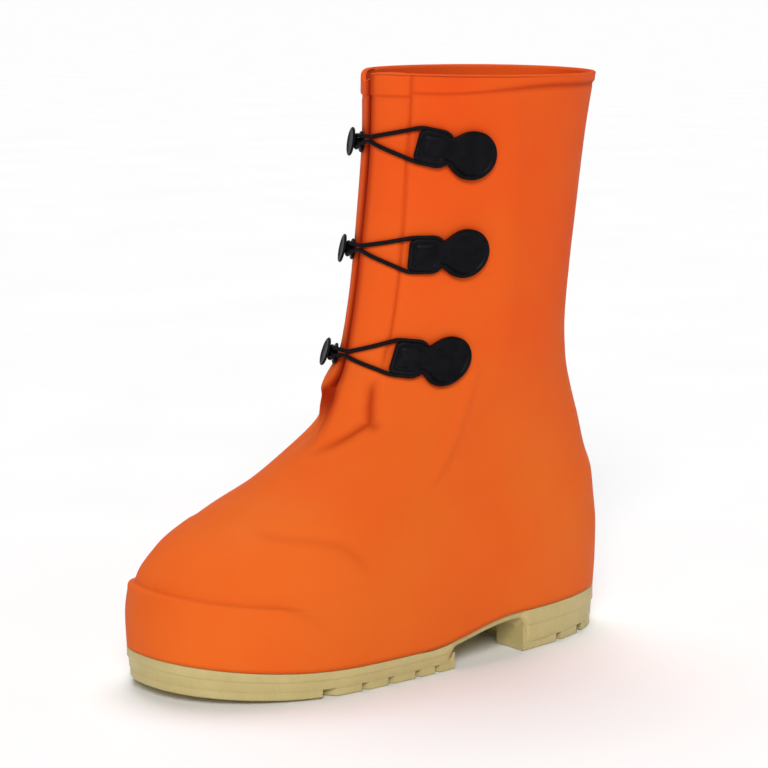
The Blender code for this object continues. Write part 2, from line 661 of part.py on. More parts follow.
def tab_half(a):
    """Half height of the tab at a distance from its front end."""
    disc_centre = TAB_LENGTH - DISC_LONG
    half = TAB_TIP
    if a > disc_centre - DISC_LONG:
        half = max(half, DISC_HALF * math.sqrt(max(1 - ((a - disc_centre) / DISC_LONG) ** 2, 0.0)))
    if a < GRIP_LENGTH:
        corner = max(TAB_CORNER - min(a, GRIP_LENGTH - a), 0.0)
        half = max(half, GRIP_HALF - TAB_CORNER + math.sqrt(TAB_CORNER**2 - corner**2))
    if a < disc_centre:
        half = max(half, NECK_HALF)
    return half


def tab_place(closure, a, b):
    """Height and arc of a point of the tab's plan: a back from its front end, b up."""
    tilt = math.radians(closure.tilt_deg)
    arc = closure.tab_arc + a * math.cos(tilt) + b * math.sin(tilt)
    return closure.tab_height - a * math.sin(tilt) + b * math.cos(tilt), arc


def make_tab(closure, material):
    angles = np.linspace(TAB_END_ANGLE, math.pi - TAB_END_ANGLE, TAB_STATIONS)
    stations = TAB_LENGTH / 2 * (1 - np.cos(angles))
    top, under = [], []
    for a in stations:
        half = tab_half(float(a))
        for b in np.linspace(-half, half, TAB_ACROSS):
            height, arc = tab_place(closure, float(a), float(b))
            seat = wall_face(height, arc) + GAP
            top.append(shaft_point(height, arc, seat + TAB_THICK)[0])
            under.append(shaft_point(height, arc, seat)[0])
    points = to_frame(np.array(top + under))
    return closed_mesh(f"tab_{closure.name}", points, sheet_faces(TAB_STATIONS, TAB_ACROSS), material)


def button_axes(closure):
    """Seat of the button on the wall, its axis, and two directions across it: back along the wall and up."""
    reach = BUTTON_FOOT_RADIUS
    place, arc = closure.button_height, closure.button_arc
    back = shaft_point(place, arc - reach, 0.0)[0] - shaft_point(place, arc + reach, 0.0)[0]
    up = shaft_point(place + reach, arc, 0.0)[0] - shaft_point(place - reach, arc, 0.0)[0]
    axis = np.cross(up, back)
    axis /= np.linalg.norm(axis)
    back /= np.linalg.norm(back)
    up = np.cross(back, axis)
    middle = shaft_point(place, arc, 0.0)[0]
    touch = []
    for turn in np.linspace(0, 2 * math.pi, BUTTON_SIDES, endpoint=False):
        for share in np.linspace(0, 1, SEAT_RINGS):
            spot = middle + (back * math.cos(turn) + up * math.sin(turn)) * reach * share
            hit = WALL_TREE.ray_cast(Vector(spot + axis * SEAT_RAY), Vector(-axis))
            touch.append(SEAT_RAY - hit[3])
    return middle + axis * (max(touch) + GAP), axis, back, up


def make_button(closure, material):
    foot, axis, back, up = button_axes(closure)
    profile = (
        (BUTTON_FOOT_RADIUS, 0.0),
        (BUTTON_FOOT_RADIUS - BUTTON_EDGE, BUTTON_FOOT),
        (BUTTON_NECK_RADIUS, BUTTON_FOOT + BUTTON_EDGE),
        (BUTTON_NECK_RADIUS, BUTTON_NECK),
        (BUTTON_HEAD_RADIUS, BUTTON_NECK + BUTTON_EDGE),
        (BUTTON_HEAD_RADIUS, BUTTON_HEAD - BUTTON_EDGE),
        (BUTTON_HEAD_RADIUS - BUTTON_EDGE, BUTTON_HEAD),
    )
    turn = np.linspace(0, 2 * math.pi, BUTTON_SIDES, endpoint=False)
    rings = [
        [foot + axis * z + (back * math.cos(t) + up * math.sin(t)) * radius for t in turn]
        for radius, z in profile
    ]
    points = to_frame(np.array(rings)).reshape(-1, 3)
    return closed_mesh(f"button_{closure.name}", points, loft_faces(len(rings), BUTTON_SIDES), material)


def cord_route(closure):
    """Centre line of the loop: along the grip's edges, over the pleat and once round the button's neck."""
    beside = GRIP_HALF + CORD_CLEAR + CORD_RADIUS
    turn_radius = BUTTON_NECK_RADIUS + CORD_CLEAR + CORD_RADIUS
    foot, axis, back, up = button_axes(closure)
    centre = foot + axis * CORD_ON_NECK
    lift_arcs = (PLEAT_EDGE, CORD_LEAVES_PLEAT, closure.tab_arc)
    lifts = (CORD_OVER_PLEAT, CORD_OVER_PLEAT, WALL / 2 + GAP + TAB_THICK / 2)
    strands = []
    for side in (1, -1):
        plan = [tab_place(closure, a, side * beside) for a in np.linspace(GRIP_LENGTH, 0, CORD_GRIP_POINTS)]
        start = np.array(plan[-1])
        meet = closure.button_height + CORD_RISE + side * CORD_AT_EDGE
        end = np.array([meet, CORD_MEET])
        plan += [start + (end - start) * t for t in np.linspace(0, 1, CORD_PLEAT_POINTS)[1:]]
        plan.append((meet, PLEAT_EDGE))
        strand = []
        for height, arc in plan:
            clear = wall_face(height, arc) + CORD_CLEAR + CORD_RADIUS
            strand.append(shaft_point(height, arc, max(clear, float(np.interp(arc, lift_arcs, lifts))))[0])
        edge, neck = strand[-1], centre + up * side * turn_radius
        level = edge - neck - axis * np.dot(edge - neck, axis)
        leave = neck + level / np.linalg.norm(level) * (BUTTON_HEAD_RADIUS + CORD_RADIUS)
        strand += [edge + (leave - edge) * t for t in np.linspace(0, 1, CORD_FREE_POINTS)[1:]]
        strands.append(strand + [(leave + neck) / 2, neck])
    angles = np.linspace(math.pi / 2, -math.pi / 2, CORD_TURN_POINTS)[1:-1]
    turn = [centre + (back * math.cos(t) + up * math.sin(t)) * turn_radius for t in angles]
    return np.array(strands[0] + turn + strands[1][::-1])


def tube_rings(path, radius, sides):
    """Rings of points round a path, carried along it without twist."""
    along = np.gradient(path, axis=0)
    along /= np.linalg.norm(along, axis=1, keepdims=True)
    side = np.cross(along[0], (0.0, 0.0, 1.0))
    turn = np.linspace(0, 2 * math.pi, sides, endpoint=False)
    rings = []
    for point, direction in zip(path, along):
        side = side - direction * np.dot(side, direction)
        side /= np.linalg.norm(side)
        other = np.cross(direction, side)
        rings.append([point + (side * math.cos(t) + other * math.sin(t)) * radius for t in turn])
    return np.array(rings)


def make_cord(closure, material):
    rings = tube_rings(cord_route(closure), CORD_RADIUS, CORD_SIDES)
    points = to_frame(rings).reshape(-1, 3)
    return closed_mesh(f"cord_{closure.name}", points, loft_faces(len(rings), CORD_SIDES), material)


def make_material(name, colour, roughness):
    material = bpy.data.materials.new(name)
    material.use_nodes = True
    shader = material.node_tree.nodes["Principled BSDF"]
    shader.inputs["Base Color"].default_value = (*colour, 1.0)
    shader.inputs["Roughness"].default_value = roughness
    shader.inputs["Metallic"].default_value = 0.0
    return material


def main():
    for thing in list(bpy.data.objects):
        bpy.data.objects.remove(thing)
    make_upper(make_material("orange_pvc", (0.82, 0.13, 0.012), 0.38))
    make_outsole(make_material("tan_pvc", (0.66, 0.50, 0.24), 0.5))
    make_insole(make_material("insole_felt", (0.20, 0.19, 0.17), 0.9))
    rubber = make_material("black_rubber", (0.012, 0.012, 0.013), 0.4)
    elastic = make_material("black_elastic", (0.015, 0.015, 0.016), 0.7)
    for closure in CLOSURES:
        make_tab(closure, rubber)
        make_button(closure, rubber)
        make_cord(closure, elastic)


if __name__ == "__main__":
    main()
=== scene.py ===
"""Looks of the left PVC boot: finer forms of its pieces, materials, a pale floor, light and camera.

Lengths are millimetres until a mesh is made. u runs from the back of the heel to the toe, v to the outer
side and z up from the floor, as in the part. On the upper, height is a row's level before the sole's rise
is added, and arc is the way round the wall from the front centre, positive to the outer side.
"""

import math
from collections import namedtuple

import bmesh
import bpy
import numpy as np
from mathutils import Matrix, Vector
from mathutils.bvhtree import BVHTree


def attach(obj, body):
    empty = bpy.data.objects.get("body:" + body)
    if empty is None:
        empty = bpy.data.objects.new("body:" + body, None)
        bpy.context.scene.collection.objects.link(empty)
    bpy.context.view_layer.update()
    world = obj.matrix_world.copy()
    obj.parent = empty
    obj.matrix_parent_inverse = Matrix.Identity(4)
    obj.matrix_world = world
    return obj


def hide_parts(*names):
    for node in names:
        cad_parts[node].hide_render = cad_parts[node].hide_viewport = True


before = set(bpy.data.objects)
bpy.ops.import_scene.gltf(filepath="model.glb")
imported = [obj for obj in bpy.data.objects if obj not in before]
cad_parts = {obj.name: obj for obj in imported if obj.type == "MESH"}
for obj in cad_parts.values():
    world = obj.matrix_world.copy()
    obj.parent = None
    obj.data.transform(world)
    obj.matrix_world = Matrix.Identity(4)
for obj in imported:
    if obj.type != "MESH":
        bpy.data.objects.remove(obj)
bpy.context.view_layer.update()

MM = 0.001

# u and v of the frame's origin
ORIGIN_U, ORIGIN_V = 157.0905, -0.8988

# Overall sizes, as in the part
FOOT_LENGTH = 312.0
BOOT_HEIGHT = 336.0
WALL = 2.4
GAP = 0.3

# Feather edge, where the upper meets the sole, and the floor line of the tread
EDGE_HEIGHT = 15.0
EDGE_SPRING, TREAD_SPRING = 8.2, 6.0
SPRING_START = 0.66
HEEL_LIFT = 10.0
LIFT_TOP, LIFT_FOOT = 0.30, 0.53
LIFT_CLEAR = 0.35

# Inward curve of the forefoot and length of the waist under the instep
FOOT_BEND = 9.0
BEND_START = 0.45
WAIST_STATION, WAIST_LENGTH = 0.40, 0.15

# Sections of the wall's middle, from the feather edge to the rim. toe, heel and widest are u; lateral and
# medial are half widths; lift is the share of the feather edge's rise that the section follows.
Section = namedtuple(
    "Section", "height toe heel widest lateral medial toe_power heel_power waist_lateral waist_medial lift"
)
SECTIONS = (
    Section(15, 308.8, 3.0, 210, 60.6, 58.2, 2.25, 2.7, 0.05, 0.15, 1.0),
    Section(33, 309.4, 2.0, 210, 61.4, 59.0, 2.25, 2.7, 0.04, 0.13, 1.0),
    Section(52, 306.5, 1.6, 208, 61.0, 58.8, 2.25, 2.7, 0.03, 0.10, 1.0),
    Section(72, 293.0, 1.8, 204, 59.5, 57.5, 2.2, 2.6, 0.03, 0.08, 0.8),
    Section(90, 264.5, 3.0, 194, 55.5, 54.5, 2.1, 2.5, 0.02, 0.05, 0.5),
    Section(106, 233.0, 5.5, 174, 50.0, 49.0, 2.0, 2.4, 0.02, 0.03, 0.2),
    Section(124, 208.0, 10.0, 148, 45.5, 44.8, 2.0, 2.3, 0.0, 0.0, 0.0),
    Section(144, 190.0, 15.5, 124, 41.5, 41.5, 2.0, 2.2, 0.0, 0.0, 0.0),
    Section(166, 178.5, 20.0, 104, 39.3, 39.3, 2.0, 2.1, 0.0, 0.0, 0.0),
    Section(190, 173.0, 22.4, 92, 40.0, 40.0, 2.0, 2.1, 0.0, 0.0, 0.0),
    Section(222, 167.0, 21.2, 86, 41.8, 41.8, 2.0, 2.1, 0.0, 0.0, 0.0),
    Section(262, 162.0, 17.0, 82, 43.5, 43.5, 2.0, 2.1, 0.0, 0.0, 0.0),
    Section(300, 158.8, 11.2, 78, 45.2, 45.2, 2.0, 2.1, 0.0, 0.0, 0.0),
    Section(336, 157.5, 4.6, 74, 46.9, 46.9, 2.0, 2.1, 0.0, 0.0, 0.0),
)
SECTION_TABLE = np.array(SECTIONS, float)

# Steps on the outside of the wall: the rand round the toe and the hem at the rim, which narrows to the back
RAND_TOP, RAND_LEDGE = 50.0, 1.2
RAND_TOE = 3.2
RAND_FADE_FROM, RAND_FADE_TO = 0.52, 0.86
RAND_LIP, RAND_LIP_DROP, RAND_LIP_REACH = 0.35, 1.3, 1.1
RAND_SOFT, RAND_SOFT_FROM, RAND_SOFT_TO = 26.0, 0.84, 0.72
HEM_STRIP, HEM_FRONT, HEM_BACK, HEM_LEDGE, HEM_STEP = 12.0, 9.9, 5.2, 1.2, 0.75
HEM_FROM, HEM_TO = 40.0, 115.0
HEM_GROOVE, HEM_GROOVE_REACH, HEM_STRIP_OVER = 0.3, 0.8, 0.5
RIM_ROUND, RIM_POINTS = 1.1, 5

# Slope of the rim, up to the inner side and to the front, and the height where it starts
RIM_ROLL, RIM_PITCH, RIM_MIDDLE_U, RIM_FROM = 0.030, 0.012, 90.0, 290.0

# Dip of the rim beside the flap's edge, on the inner side, with its reach to the flap and to the inner side
RIM_DIP, RIM_DIP_FROM, RIM_DIP_ARC = 6.0, 318.0, -10.0
RIM_DIP_REACH, RIM_DIP_INNER = 8.5, 13.0

# Front pleat: a Z fold that starts at the throat and lies flat further up. Lengths run along the wall.
THROAT = 114.0
PLEAT_FLAT = 172.0
BEND_LENGTH = 5.0
FOLD_RETURN = 15.0
FOLD_LEAST = 1.0
FOLD_OPENS = 0.68
OUTER_RUN, UNDER_RUN, RAMP_RUN = 24.0, 16.0, 9.0
OUTER_COLUMNS, BEND_COLUMNS, FOLD_COLUMNS, UNDER_COLUMNS, RAMP_COLUMNS = 18, 13, 7, 8, 10
FLAP_RISE = 0.38
VAMP_WIDTH = 168.0
VAMP_TOP = 48.0

# Forms at the throat, where the fold opens: bulge of the inner side, hollow below it, ridge of the strip
Form = namedtuple("Form", "size height rise arc reach")
THROAT_FORMS = (
    Form(5.0, 160.0, 12.0, -17.0, 12.0),
    Form(-6.5, 133.0, 9.0, -22.0, 15.0),
    Form(2.2, 138.0, 10.0, 0.0, 8.0),
)

# Grid of the upper
LATERAL_COLUMNS, MEDIAL_COLUMNS = 72, 64
SIDE_GRADING = 1.08
CURVE_POINTS = 721
ROW_RUNS = (
    (EDGE_HEIGHT, 3.5), (45.0, 0.7), (53.0, 1.8), (106.0, 1.3), (176.0, 2.6), (321.5, 0.5), (331.0, 1.0),
)

# Creases and moulded lines of the upper, as lines of (height, arc)
STRIP_EDGE = ((336, 24.5), (284, 23.0), (224, 24.0), (190, 24.0), (165, 21.5))
NOTCH_UP = ((168, 19.5), (160, 20.0), (151, 23.0), (141.5, 28.0))
NOTCH_IN = ((141.5, 28.0), (138, 24.0), (134, 20.5), (130, 16.0), (126, 10.0), (123, 2.0))
NOTCH_OUT = ((141.5, 28.0), (139.5, 32.0), (137.0, 38.0))
COUNTER_EDGE = (
    (180, 78.5), (166, 78.5), (154, 79.5), (142, 82.0), (134, 85.5), (125, 89.5), (117, 94.5), (110, 99.5),
    (96, 109.5),
)
SIDE_CREASE = ((326, 85.5), (282, 87.0), (244, 89.0), (197, 93.5), (160, 99.0))
STRIP_GROOVE, STRIP_GROOVE_REACH = 0.8, 1.0
NOTCH_DEPTH, NOTCH_REACH = 2.3, 2.6
NOTCH_SPREAD = 3.0
COUNTER_RIDGE, COUNTER_REACH = 1.7, 3.4
SIDE_RIDGE, SIDE_REACH = 0.9, 9.0

# Shares of a line's length where its relief fades in and out, and powers of the fading at the notch
STRIP_FADES, COUNTER_FADES, SIDE_FADES = (0.0, 0.1), (0.25, 0.3), (0.05, 0.3)
NOTCH_FADES, NOTCH_IN_POWER, NOTCH_OUT_POWER = (0.55, 0.0), 0.8, 1.6

# Slow waves of the wall: millimetres a radian up the wall and round it, and phase
WAVES = ((17.0, 29.0, 0.0), (31.0, -19.0, 1.3), (math.inf, 11.0, 0.4))
WAVE_DEPTH, WAVE_FADE = 0.22, 30.0

# Painted shade in the creases, a darker colour where shade falls: line, strength, reach, and the shares of
# its length where it fades
SHADE_LINES = (
    (STRIP_EDGE, 0.5, 1.0, *STRIP_FADES),
    (NOTCH_UP, 0.7, 2.6, 0.4, 0.0),
    (NOTCH_IN, 0.65, 3.0, 0.0, 0.75),
    (NOTCH_OUT, 0.55, 2.4, 0.0, 0.8),
)
# Painted shade along the hem's lower edge and behind the toe cap's rear edge
HEM_SHADE, HEM_SHADE_BACK, HEM_SHADE_REACH = 0.3, 0.6, 1.0
CAP_SHADE, CAP_SHADE_BACK, CAP_SHADE_REACH = 0.15, 1.0, 3.0
CAP_SHADE_FROM, CAP_SHADE_RUN = 24.0, 14.0

# Painted shade along the pleat and in the pocket below it, by the way along the wall from the outer run's
# start: 1 is deep shade, 2 is the gap's painted shadow
FOLD_WAYS = (21.0, 24.0, 26.0, 26.6, 70.2, 71.0, 72.5, 74.0)
FOLD_SHADES = (0.0, 0.7, 1.2, 2.0, 2.0, 1.3, 0.6, 0.0)
FOLD_SHADE_FROM, FOLD_SHADE_FULL = 0.75, 0.97
POCKET_SHADE, POCKET_HEIGHT, POCKET_RISE = 1.0, 152.0, 14.0

# Rear edge of the toe cap under the wall: u at the middle line, how far the sides sweep back, half width
CAP_U, CAP_SWEEP, CAP_HALF, CAP_MIDDLE = 262.0, 33.0, 56.4, -4.4
CAP_STEP, CAP_EDGE, CAP_RUN = 0.6, 3.5, 48.0
CAP_FROM, CAP_FULL = 62.0, 76.0

# Outsole: a slab with a side step, thin at the arch, that carries the tread
SIDE_STEP = 0.8
STEP_SHARE = 0.5
STEP_SLOPE = 0.8
SIDE_DRAFT = 0.6
SOLE_ROUND = 0.7
SOLE_SHARP_DEG = 32.0
LUG_DEPTH = 4.5
HEEL_LUG_DEPTH = 5.0
SHANK_THICK = 7.0
SHANK_FRONT, SHANK_FRONT_RUN = 0.455, 0.02
BREAST, BREAST_RUN = 0.294, 0.025
ARCH_TOP_INSET, ARCH_FOOT_INSET = 1.8, 8.0
LUG_ROOT = 1.8
LUG_INSET = 0.3
LUG_CHAMFER, LUG_STEP = 0.7, 2.4

# Tread bars across the forefoot, stations as shares of the length. The ends sweep back to the heel, and
# notch is the depth of the middle zigzag.
Bar = namedtuple("Bar", "station sweep notch")
BARS = (
    Bar(0.765, 0.040, 0.0),
    Bar(0.705, 0.040, 0.030),
    Bar(0.638, 0.044, 0.0),
    Bar(0.577, 0.036, 0.026),
    Bar(0.517, 0.036, 0.026),
)
BAR_WIDTH = 5.5
BAR_BEND, BAR_END = 0.39, 0.57
NOTCH_HALF = 0.14

# Tread blocks along the edges. front and rear are where the block meets the outline, the sweeps carry its
# inner corners towards the toe, and reach is its share of the half width.
Block = namedtuple("Block", "side front rear front_sweep rear_sweep reach")
LATERAL, MEDIAL = 1, -1
BLOCKS = (
    Block(MEDIAL, 0.752, 0.690, 0.055, 0.070, 0.34),
    Block(MEDIAL, 0.666, 0.622, 0.048, 0.048, 0.32),
    Block(MEDIAL, 0.602, 0.564, 0.042, 0.044, 0.31),
    Block(MEDIAL, 0.546, 0.506, 0.032, 0.038, 0.29),
    Block(MEDIAL, 0.490, 0.462, 0.030, 0.034, 0.27),
    Block(LATERAL, 0.738, 0.684, 0.048, 0.048, 0.35),
    Block(LATERAL, 0.668, 0.624, 0.044, 0.044, 0.33),
    Block(LATERAL, 0.608, 0.560, 0.040, 0.040, 0.33),
    Block(LATERAL, 0.544, 0.512, 0.036, 0.036, 0.33),
    Block(LATERAL, 0.497, 0.462, 0.032, 0.030, 0.30),
    Block(MEDIAL, 0.286, 0.205, 0.0, 0.030, 0.40),
    Block(MEDIAL, 0.192, 0.163, 0.030, 0.026, 0.40),
    Block(MEDIAL, 0.150, 0.124, 0.026, 0.022, 0.40),
    Block(LATERAL, 0.286, 0.190, 0.0, 0.028, 0.47),
    Block(LATERAL, 0.172, 0.118, 0.028, 0.024, 0.45),
)
BLOCK_POINTS = 4

# Rear edge of the toe plate, from the medial outline to the lateral one: shares of length and half width
TOE_PLATE_EDGE = (
    (0.770, -1.0), (0.832, -0.62), (0.892, -0.30), (0.862, -0.09), (0.864, 0.02), (0.888, 0.13),
    (0.846, 0.44), (0.800, 0.74), (0.756, 1.0),
)
TOE_PLATE_POINTS = 65

# Plates in the middle of the heel: front, rear, medial and lateral share of the half width
HeelPlate = namedtuple("HeelPlate", "front rear medial lateral")
HEEL_PLATES = (
    HeelPlate(0.254, 0.238, -0.50, 0.44),
    HeelPlate(0.208, 0.180, -0.50, 0.46),
    HeelPlate(0.168, 0.140, -0.50, 0.46),
)
HEEL_RIM_MEDIAL, HEEL_RIM_LATERAL = 0.108, 0.100
HEEL_RIM_CENTRE, HEEL_RIM_SHARE = 0.120, 0.62
HEEL_RIM_POINTS = 41

INSOLE_THICK = 3.5
INSOLE_CLEAR, INSOLE_ROUND = 1.0, 1.2

# Points of a rounded edge, as shares of its radius: in the middle of the corner, near its end and at its end
CORNER, CORNER_NEAR, CORNER_END = 0.3, 0.2, 0.1

# Closures, top to bottom: height of the tab's front end and its arc from the front centre, tilt of the tab
# down towards the back, height of the button and its arc to the inner side
Closure = namedtuple("Closure", "name tab_height tab_arc tilt_deg button_height button_arc")
CLOSURES = (
    Closure("top", 297.0, 28.0, 12.5, 296.5, -12.5),
    Closure("middle", 235.0, 28.0, 0.0, 235.5, -12.5),
    Closure("bottom", 178.0, 26.8, 6.5, 176.0, -10.5),
)

# Table of the shaft's front, and what keeps an index inside its last cell
SHAFT_HEIGHTS, SHAFT_ARCS = np.linspace(140.0, 335.0, 131), np.linspace(-40.0, 100.0, 141)
LAST_CELL = 1.001

# Tab: a rounded grip in front, a neck and a round disc behind, with a raised rim all round
GRIP_LENGTH, GRIP_HALF = 16.0, 8.3
NECK_HALF = 7.6
DISC_LONG, DISC_HALF = 13.7, 13.7
TAB_LENGTH = 46.0
TAB_THICK = 3.6
TAB_CORNER = 2.6
TAB_BLEND = 1.6
TAB_ROUND, TAB_RIM, TAB_SLOPE, TAB_SUNK = 0.9, 2.1, 0.8, 0.85
PANEL_BACK, PANEL_INSET, PANEL_RISE = 15.0, 3.6, 0.55

# Points along and across the tab, and the angle left out at both ends of their cosine spacing
TAB_STATIONS, TAB_ACROSS, TAB_TIP = 91, 41, 0.02

# Elastic cord: radius and clearance, points round and along it, and points of the averages that soften it
CORD_RADIUS, CORD_CLEAR = 1.2, 0.15
CORD_SIDES, CORD_STEP = 14, 0.7
CORD_SMOOTH, CORD_SOFT = 5, 3
CORD_FREE_POINTS, CORD_TURN_POINTS, CURVE_STEPS = 13, 9, 9

# Its route: how far the ends go past the grip, arc where the strands near each other, their rise over the
# button and half distance there, arc of the flap's edge, and height on the button's neck
CORD_TUCK = 3.5
CORD_MEET, CORD_RISE, CORD_AT_EDGE = 3.0, 2.6, 1.4
PLEAT_EDGE = 0.0
CORD_ON_NECK = 3.2

# Mushroom button, with the heights of its foot, neck and head, and the rays that find its seat
BUTTON_SIDES = 40
BUTTON_FOOT_RADIUS, BUTTON_NECK_RADIUS, BUTTON_HEAD_RADIUS = 6.0, 2.2, 8.3
BUTTON_FOOT, BUTTON_NECK, BUTTON_HEAD = 1.3, 5.0, 7.2
BUTTON_LEAN_DEG = 6.0
SEAT_RAY, SEAT_RINGS = 40.0, 3

# Way of the cord on the tab, from inside its neck along the grip: distances from the tab's front and middle
CORD_BESIDE = GRIP_HALF + CORD_CLEAR + CORD_RADIUS
CORD_ON_GRIP = (
    (GRIP_LENGTH + CORD_TUCK, NECK_HALF - 2 * CORD_RADIUS),
    (GRIP_LENGTH + 1.0, NECK_HALF + 0.6),
    (GRIP_LENGTH - 2.0, CORD_BESIDE),
    (GRIP_LENGTH / 2, CORD_BESIDE),
    (3.0, CORD_BESIDE),
    (0.0, CORD_BESIDE - 0.3),
)

# Outline of the button. Foot: shares of its radius and height. Neck: what is added to its radius, and the way
# up from the foot or down from the head. Head: shares of its radius and thickness. Dish: share of the head's
# radius and depth.
FOOT_FORM = ((0.0, 0.0), (0.9, 0.0), (1.0, 0.15), (1.0, 0.7), (0.93, 0.95), (0.8, 1.0))
NECK_LOW_FORM = ((0.9, 0.1), (0.25, 0.4), (0.0, 0.9))
NECK_HIGH_FORM = ((0.0, 0.7), (0.3, 0.25), (1.0, 0.0))
HEAD_FORM = ((0.75, 0.22), (0.95, 0.36), (1.0, 0.55), (0.985, 0.8), (0.93, 0.97), (0.86, 1.0))
DISH_FORM = ((0.76, 0.08), (0.66, 0.45), (0.3, 0.6), (0.0, 0.62))

# Camera, floor and sky. The frame's axes are used, with the floor's sizes in metres.
CAMERA_PLACE = Vector((1128.3, -880.9, 397.3)) * MM
CAMERA_AIM = Vector((0.5, 6.5, 157.8)) * MM
CAMERA_LENS, CAMERA_SENSOR, CAMERA_CLIP = 118.5, 36.0, (0.05, 50.0)
FLOOR_RADIUS, FLOOR_SIDES, FLOOR_DROP = 45.0, 64, 0.0002
SKY, HORIZON = 0.10, 0.95
HORIZON_RISE = (0.10, 0.35)

# Lights: direction towards the light, angle that it fills in degrees, strength
KEY_LIGHT = ((0.78, -0.62, 0.66), 24.0, 2.15)
TOP_LIGHT = ((-0.32, 0.25, 1.0), 40.0, 1.8)

# Least length to divide by
TINY = 1e-6


def ease(t):
    """Smooth step from 0 to 1."""
    t = np.clip(t, 0.0, 1.0)
    return t * t * (3 - 2 * t)


def ramp(x, start, end):
    """Smooth step from 0 at the start to 1 at the end."""
    return ease((x - start) / (end - start))


def bell(x, middle, reach):
    """1 at the middle, falling off smoothly to both sides."""
    return np.exp(-(((x - middle) / reach) ** 2))


def monotone(knots, values, wanted):
    """Cubic through the values that adds no bulge between two of them."""
    width = np.diff(knots)
    rate = np.diff(values) / width
    slope = np.zeros(len(values))
    slope[0], slope[-1] = rate[0], rate[-1]
    for i in range(1, len(rate)):
        if rate[i - 1] * rate[i] > 0:
            before, after = 2 * width[i] + width[i - 1], width[i] + 2 * width[i - 1]
            slope[i] = (before + after) / (before / rate[i - 1] + after / rate[i])
    i = np.clip(np.searchsorted(knots, wanted) - 1, 0, len(width) - 1)
    t = (wanted - knots[i]) / width[i]
    start = values[i] * (1 + 2 * t) * (1 - t) ** 2 + slope[i] * width[i] * t * (1 - t) ** 2
    return start + values[i + 1] * t * t * (3 - 2 * t) + slope[i + 1] * width[i] * t * t * (t - 1)


def lengths_along(u, v):
    """Distances along a line of points from its start."""
    return np.concatenate([[0], np.cumsum(np.hypot(np.diff(u), np.diff(v)))])


def to_frame(points):
    """u, v and z to the boot's own axes."""
    points = np.asarray(points, float)
    return np.stack([points[..., 1] - ORIGIN_V, ORIGIN_U - points[..., 0], points[..., 2]], axis=-1)


# The wall

def section_at(height):
    columns = SECTION_TABLE.T
    return Section(*(float(monotone(columns[0], column, height)) for column in columns))


def toe_spring(u, rise):
    """Rise of the toe off the floor."""
    run = (1 - SPRING_START) * FOOT_LENGTH
    return rise * np.clip((u - SPRING_START * FOOT_LENGTH) / run, 0, None) ** 2


def edge_rise(u):
    """Rise of the feather edge over its forefoot height."""
    lift_run = (LIFT_FOOT - LIFT_TOP) * FOOT_LENGTH
    return toe_spring(u, EDGE_SPRING) + HEEL_LIFT * ease((LIFT_FOOT * FOOT_LENGTH - u) / lift_run)


def section_curve(height):
    """Arc length from the front centre, u and v of the wall's middle."""
    row = section_at(height)
    angle = np.linspace(-math.pi, math.pi, CURVE_POINTS)
    along, across = np.cos(angle), np.sin(angle)
    power = np.where(along >= 0, row.toe_power, row.heel_power)
    reach = np.where(along >= 0, row.toe - row.widest, row.widest - row.heel)
    half = np.where(across >= 0, row.lateral, row.medial)
    u = row.widest + reach * np.sign(along) * np.abs(along) ** (2 / power)
    v = half * np.sign(across) * np.abs(across) ** (2 / power)
    waist = np.where(across >= 0, row.waist_lateral, row.waist_medial)
    v *= 1 - waist * bell(u / FOOT_LENGTH, WAIST_STATION, WAIST_LENGTH)
    bend = np.clip((u / FOOT_LENGTH - BEND_START) / (1 - BEND_START), 0, 1)
    v -= FOOT_BEND * bend**2
    arc = lengths_along(u, v)
    return arc - arc[CURVE_POINTS // 2], u, v


def curve_normals(u, v):
    """Outward plan normals of a closed section curve."""
    du, dv = np.gradient(u), np.gradient(v)
    du[0] = du[-1] = (u[1] - u[-2]) / 2
    dv[0] = dv[-1] = (v[1] - v[-2]) / 2
    size = np.hypot(du, dv)
    return dv / size, -du / size


def fold_share(height):
    """0 below the throat, 1 where the pleat lies flat."""
    return ramp(np.asarray(height, float), THROAT, PLEAT_FLAT)


def pleat_runs(fold):
    """Length, columns and headings at both ends of the pleat's runs, the headings as shares of its turn."""
    return (
        (OUTER_RUN, OUTER_COLUMNS, 0.0, 0.0),
        (BEND_LENGTH, BEND_COLUMNS, 0.0, 1.0),
        (fold, FOLD_COLUMNS, 1.0, 1.0),
        (BEND_LENGTH, BEND_COLUMNS, 1.0, 0.0),
        (UNDER_RUN, UNDER_COLUMNS, 0.0, 0.0),
        (RAMP_RUN, RAMP_COLUMNS, 0.0, 0.0),
    )


def run_steps(runs):
    """Distance from column to column along the pleat."""
    return np.concatenate([np.full(count, length / count) for length, count, _, _ in runs])


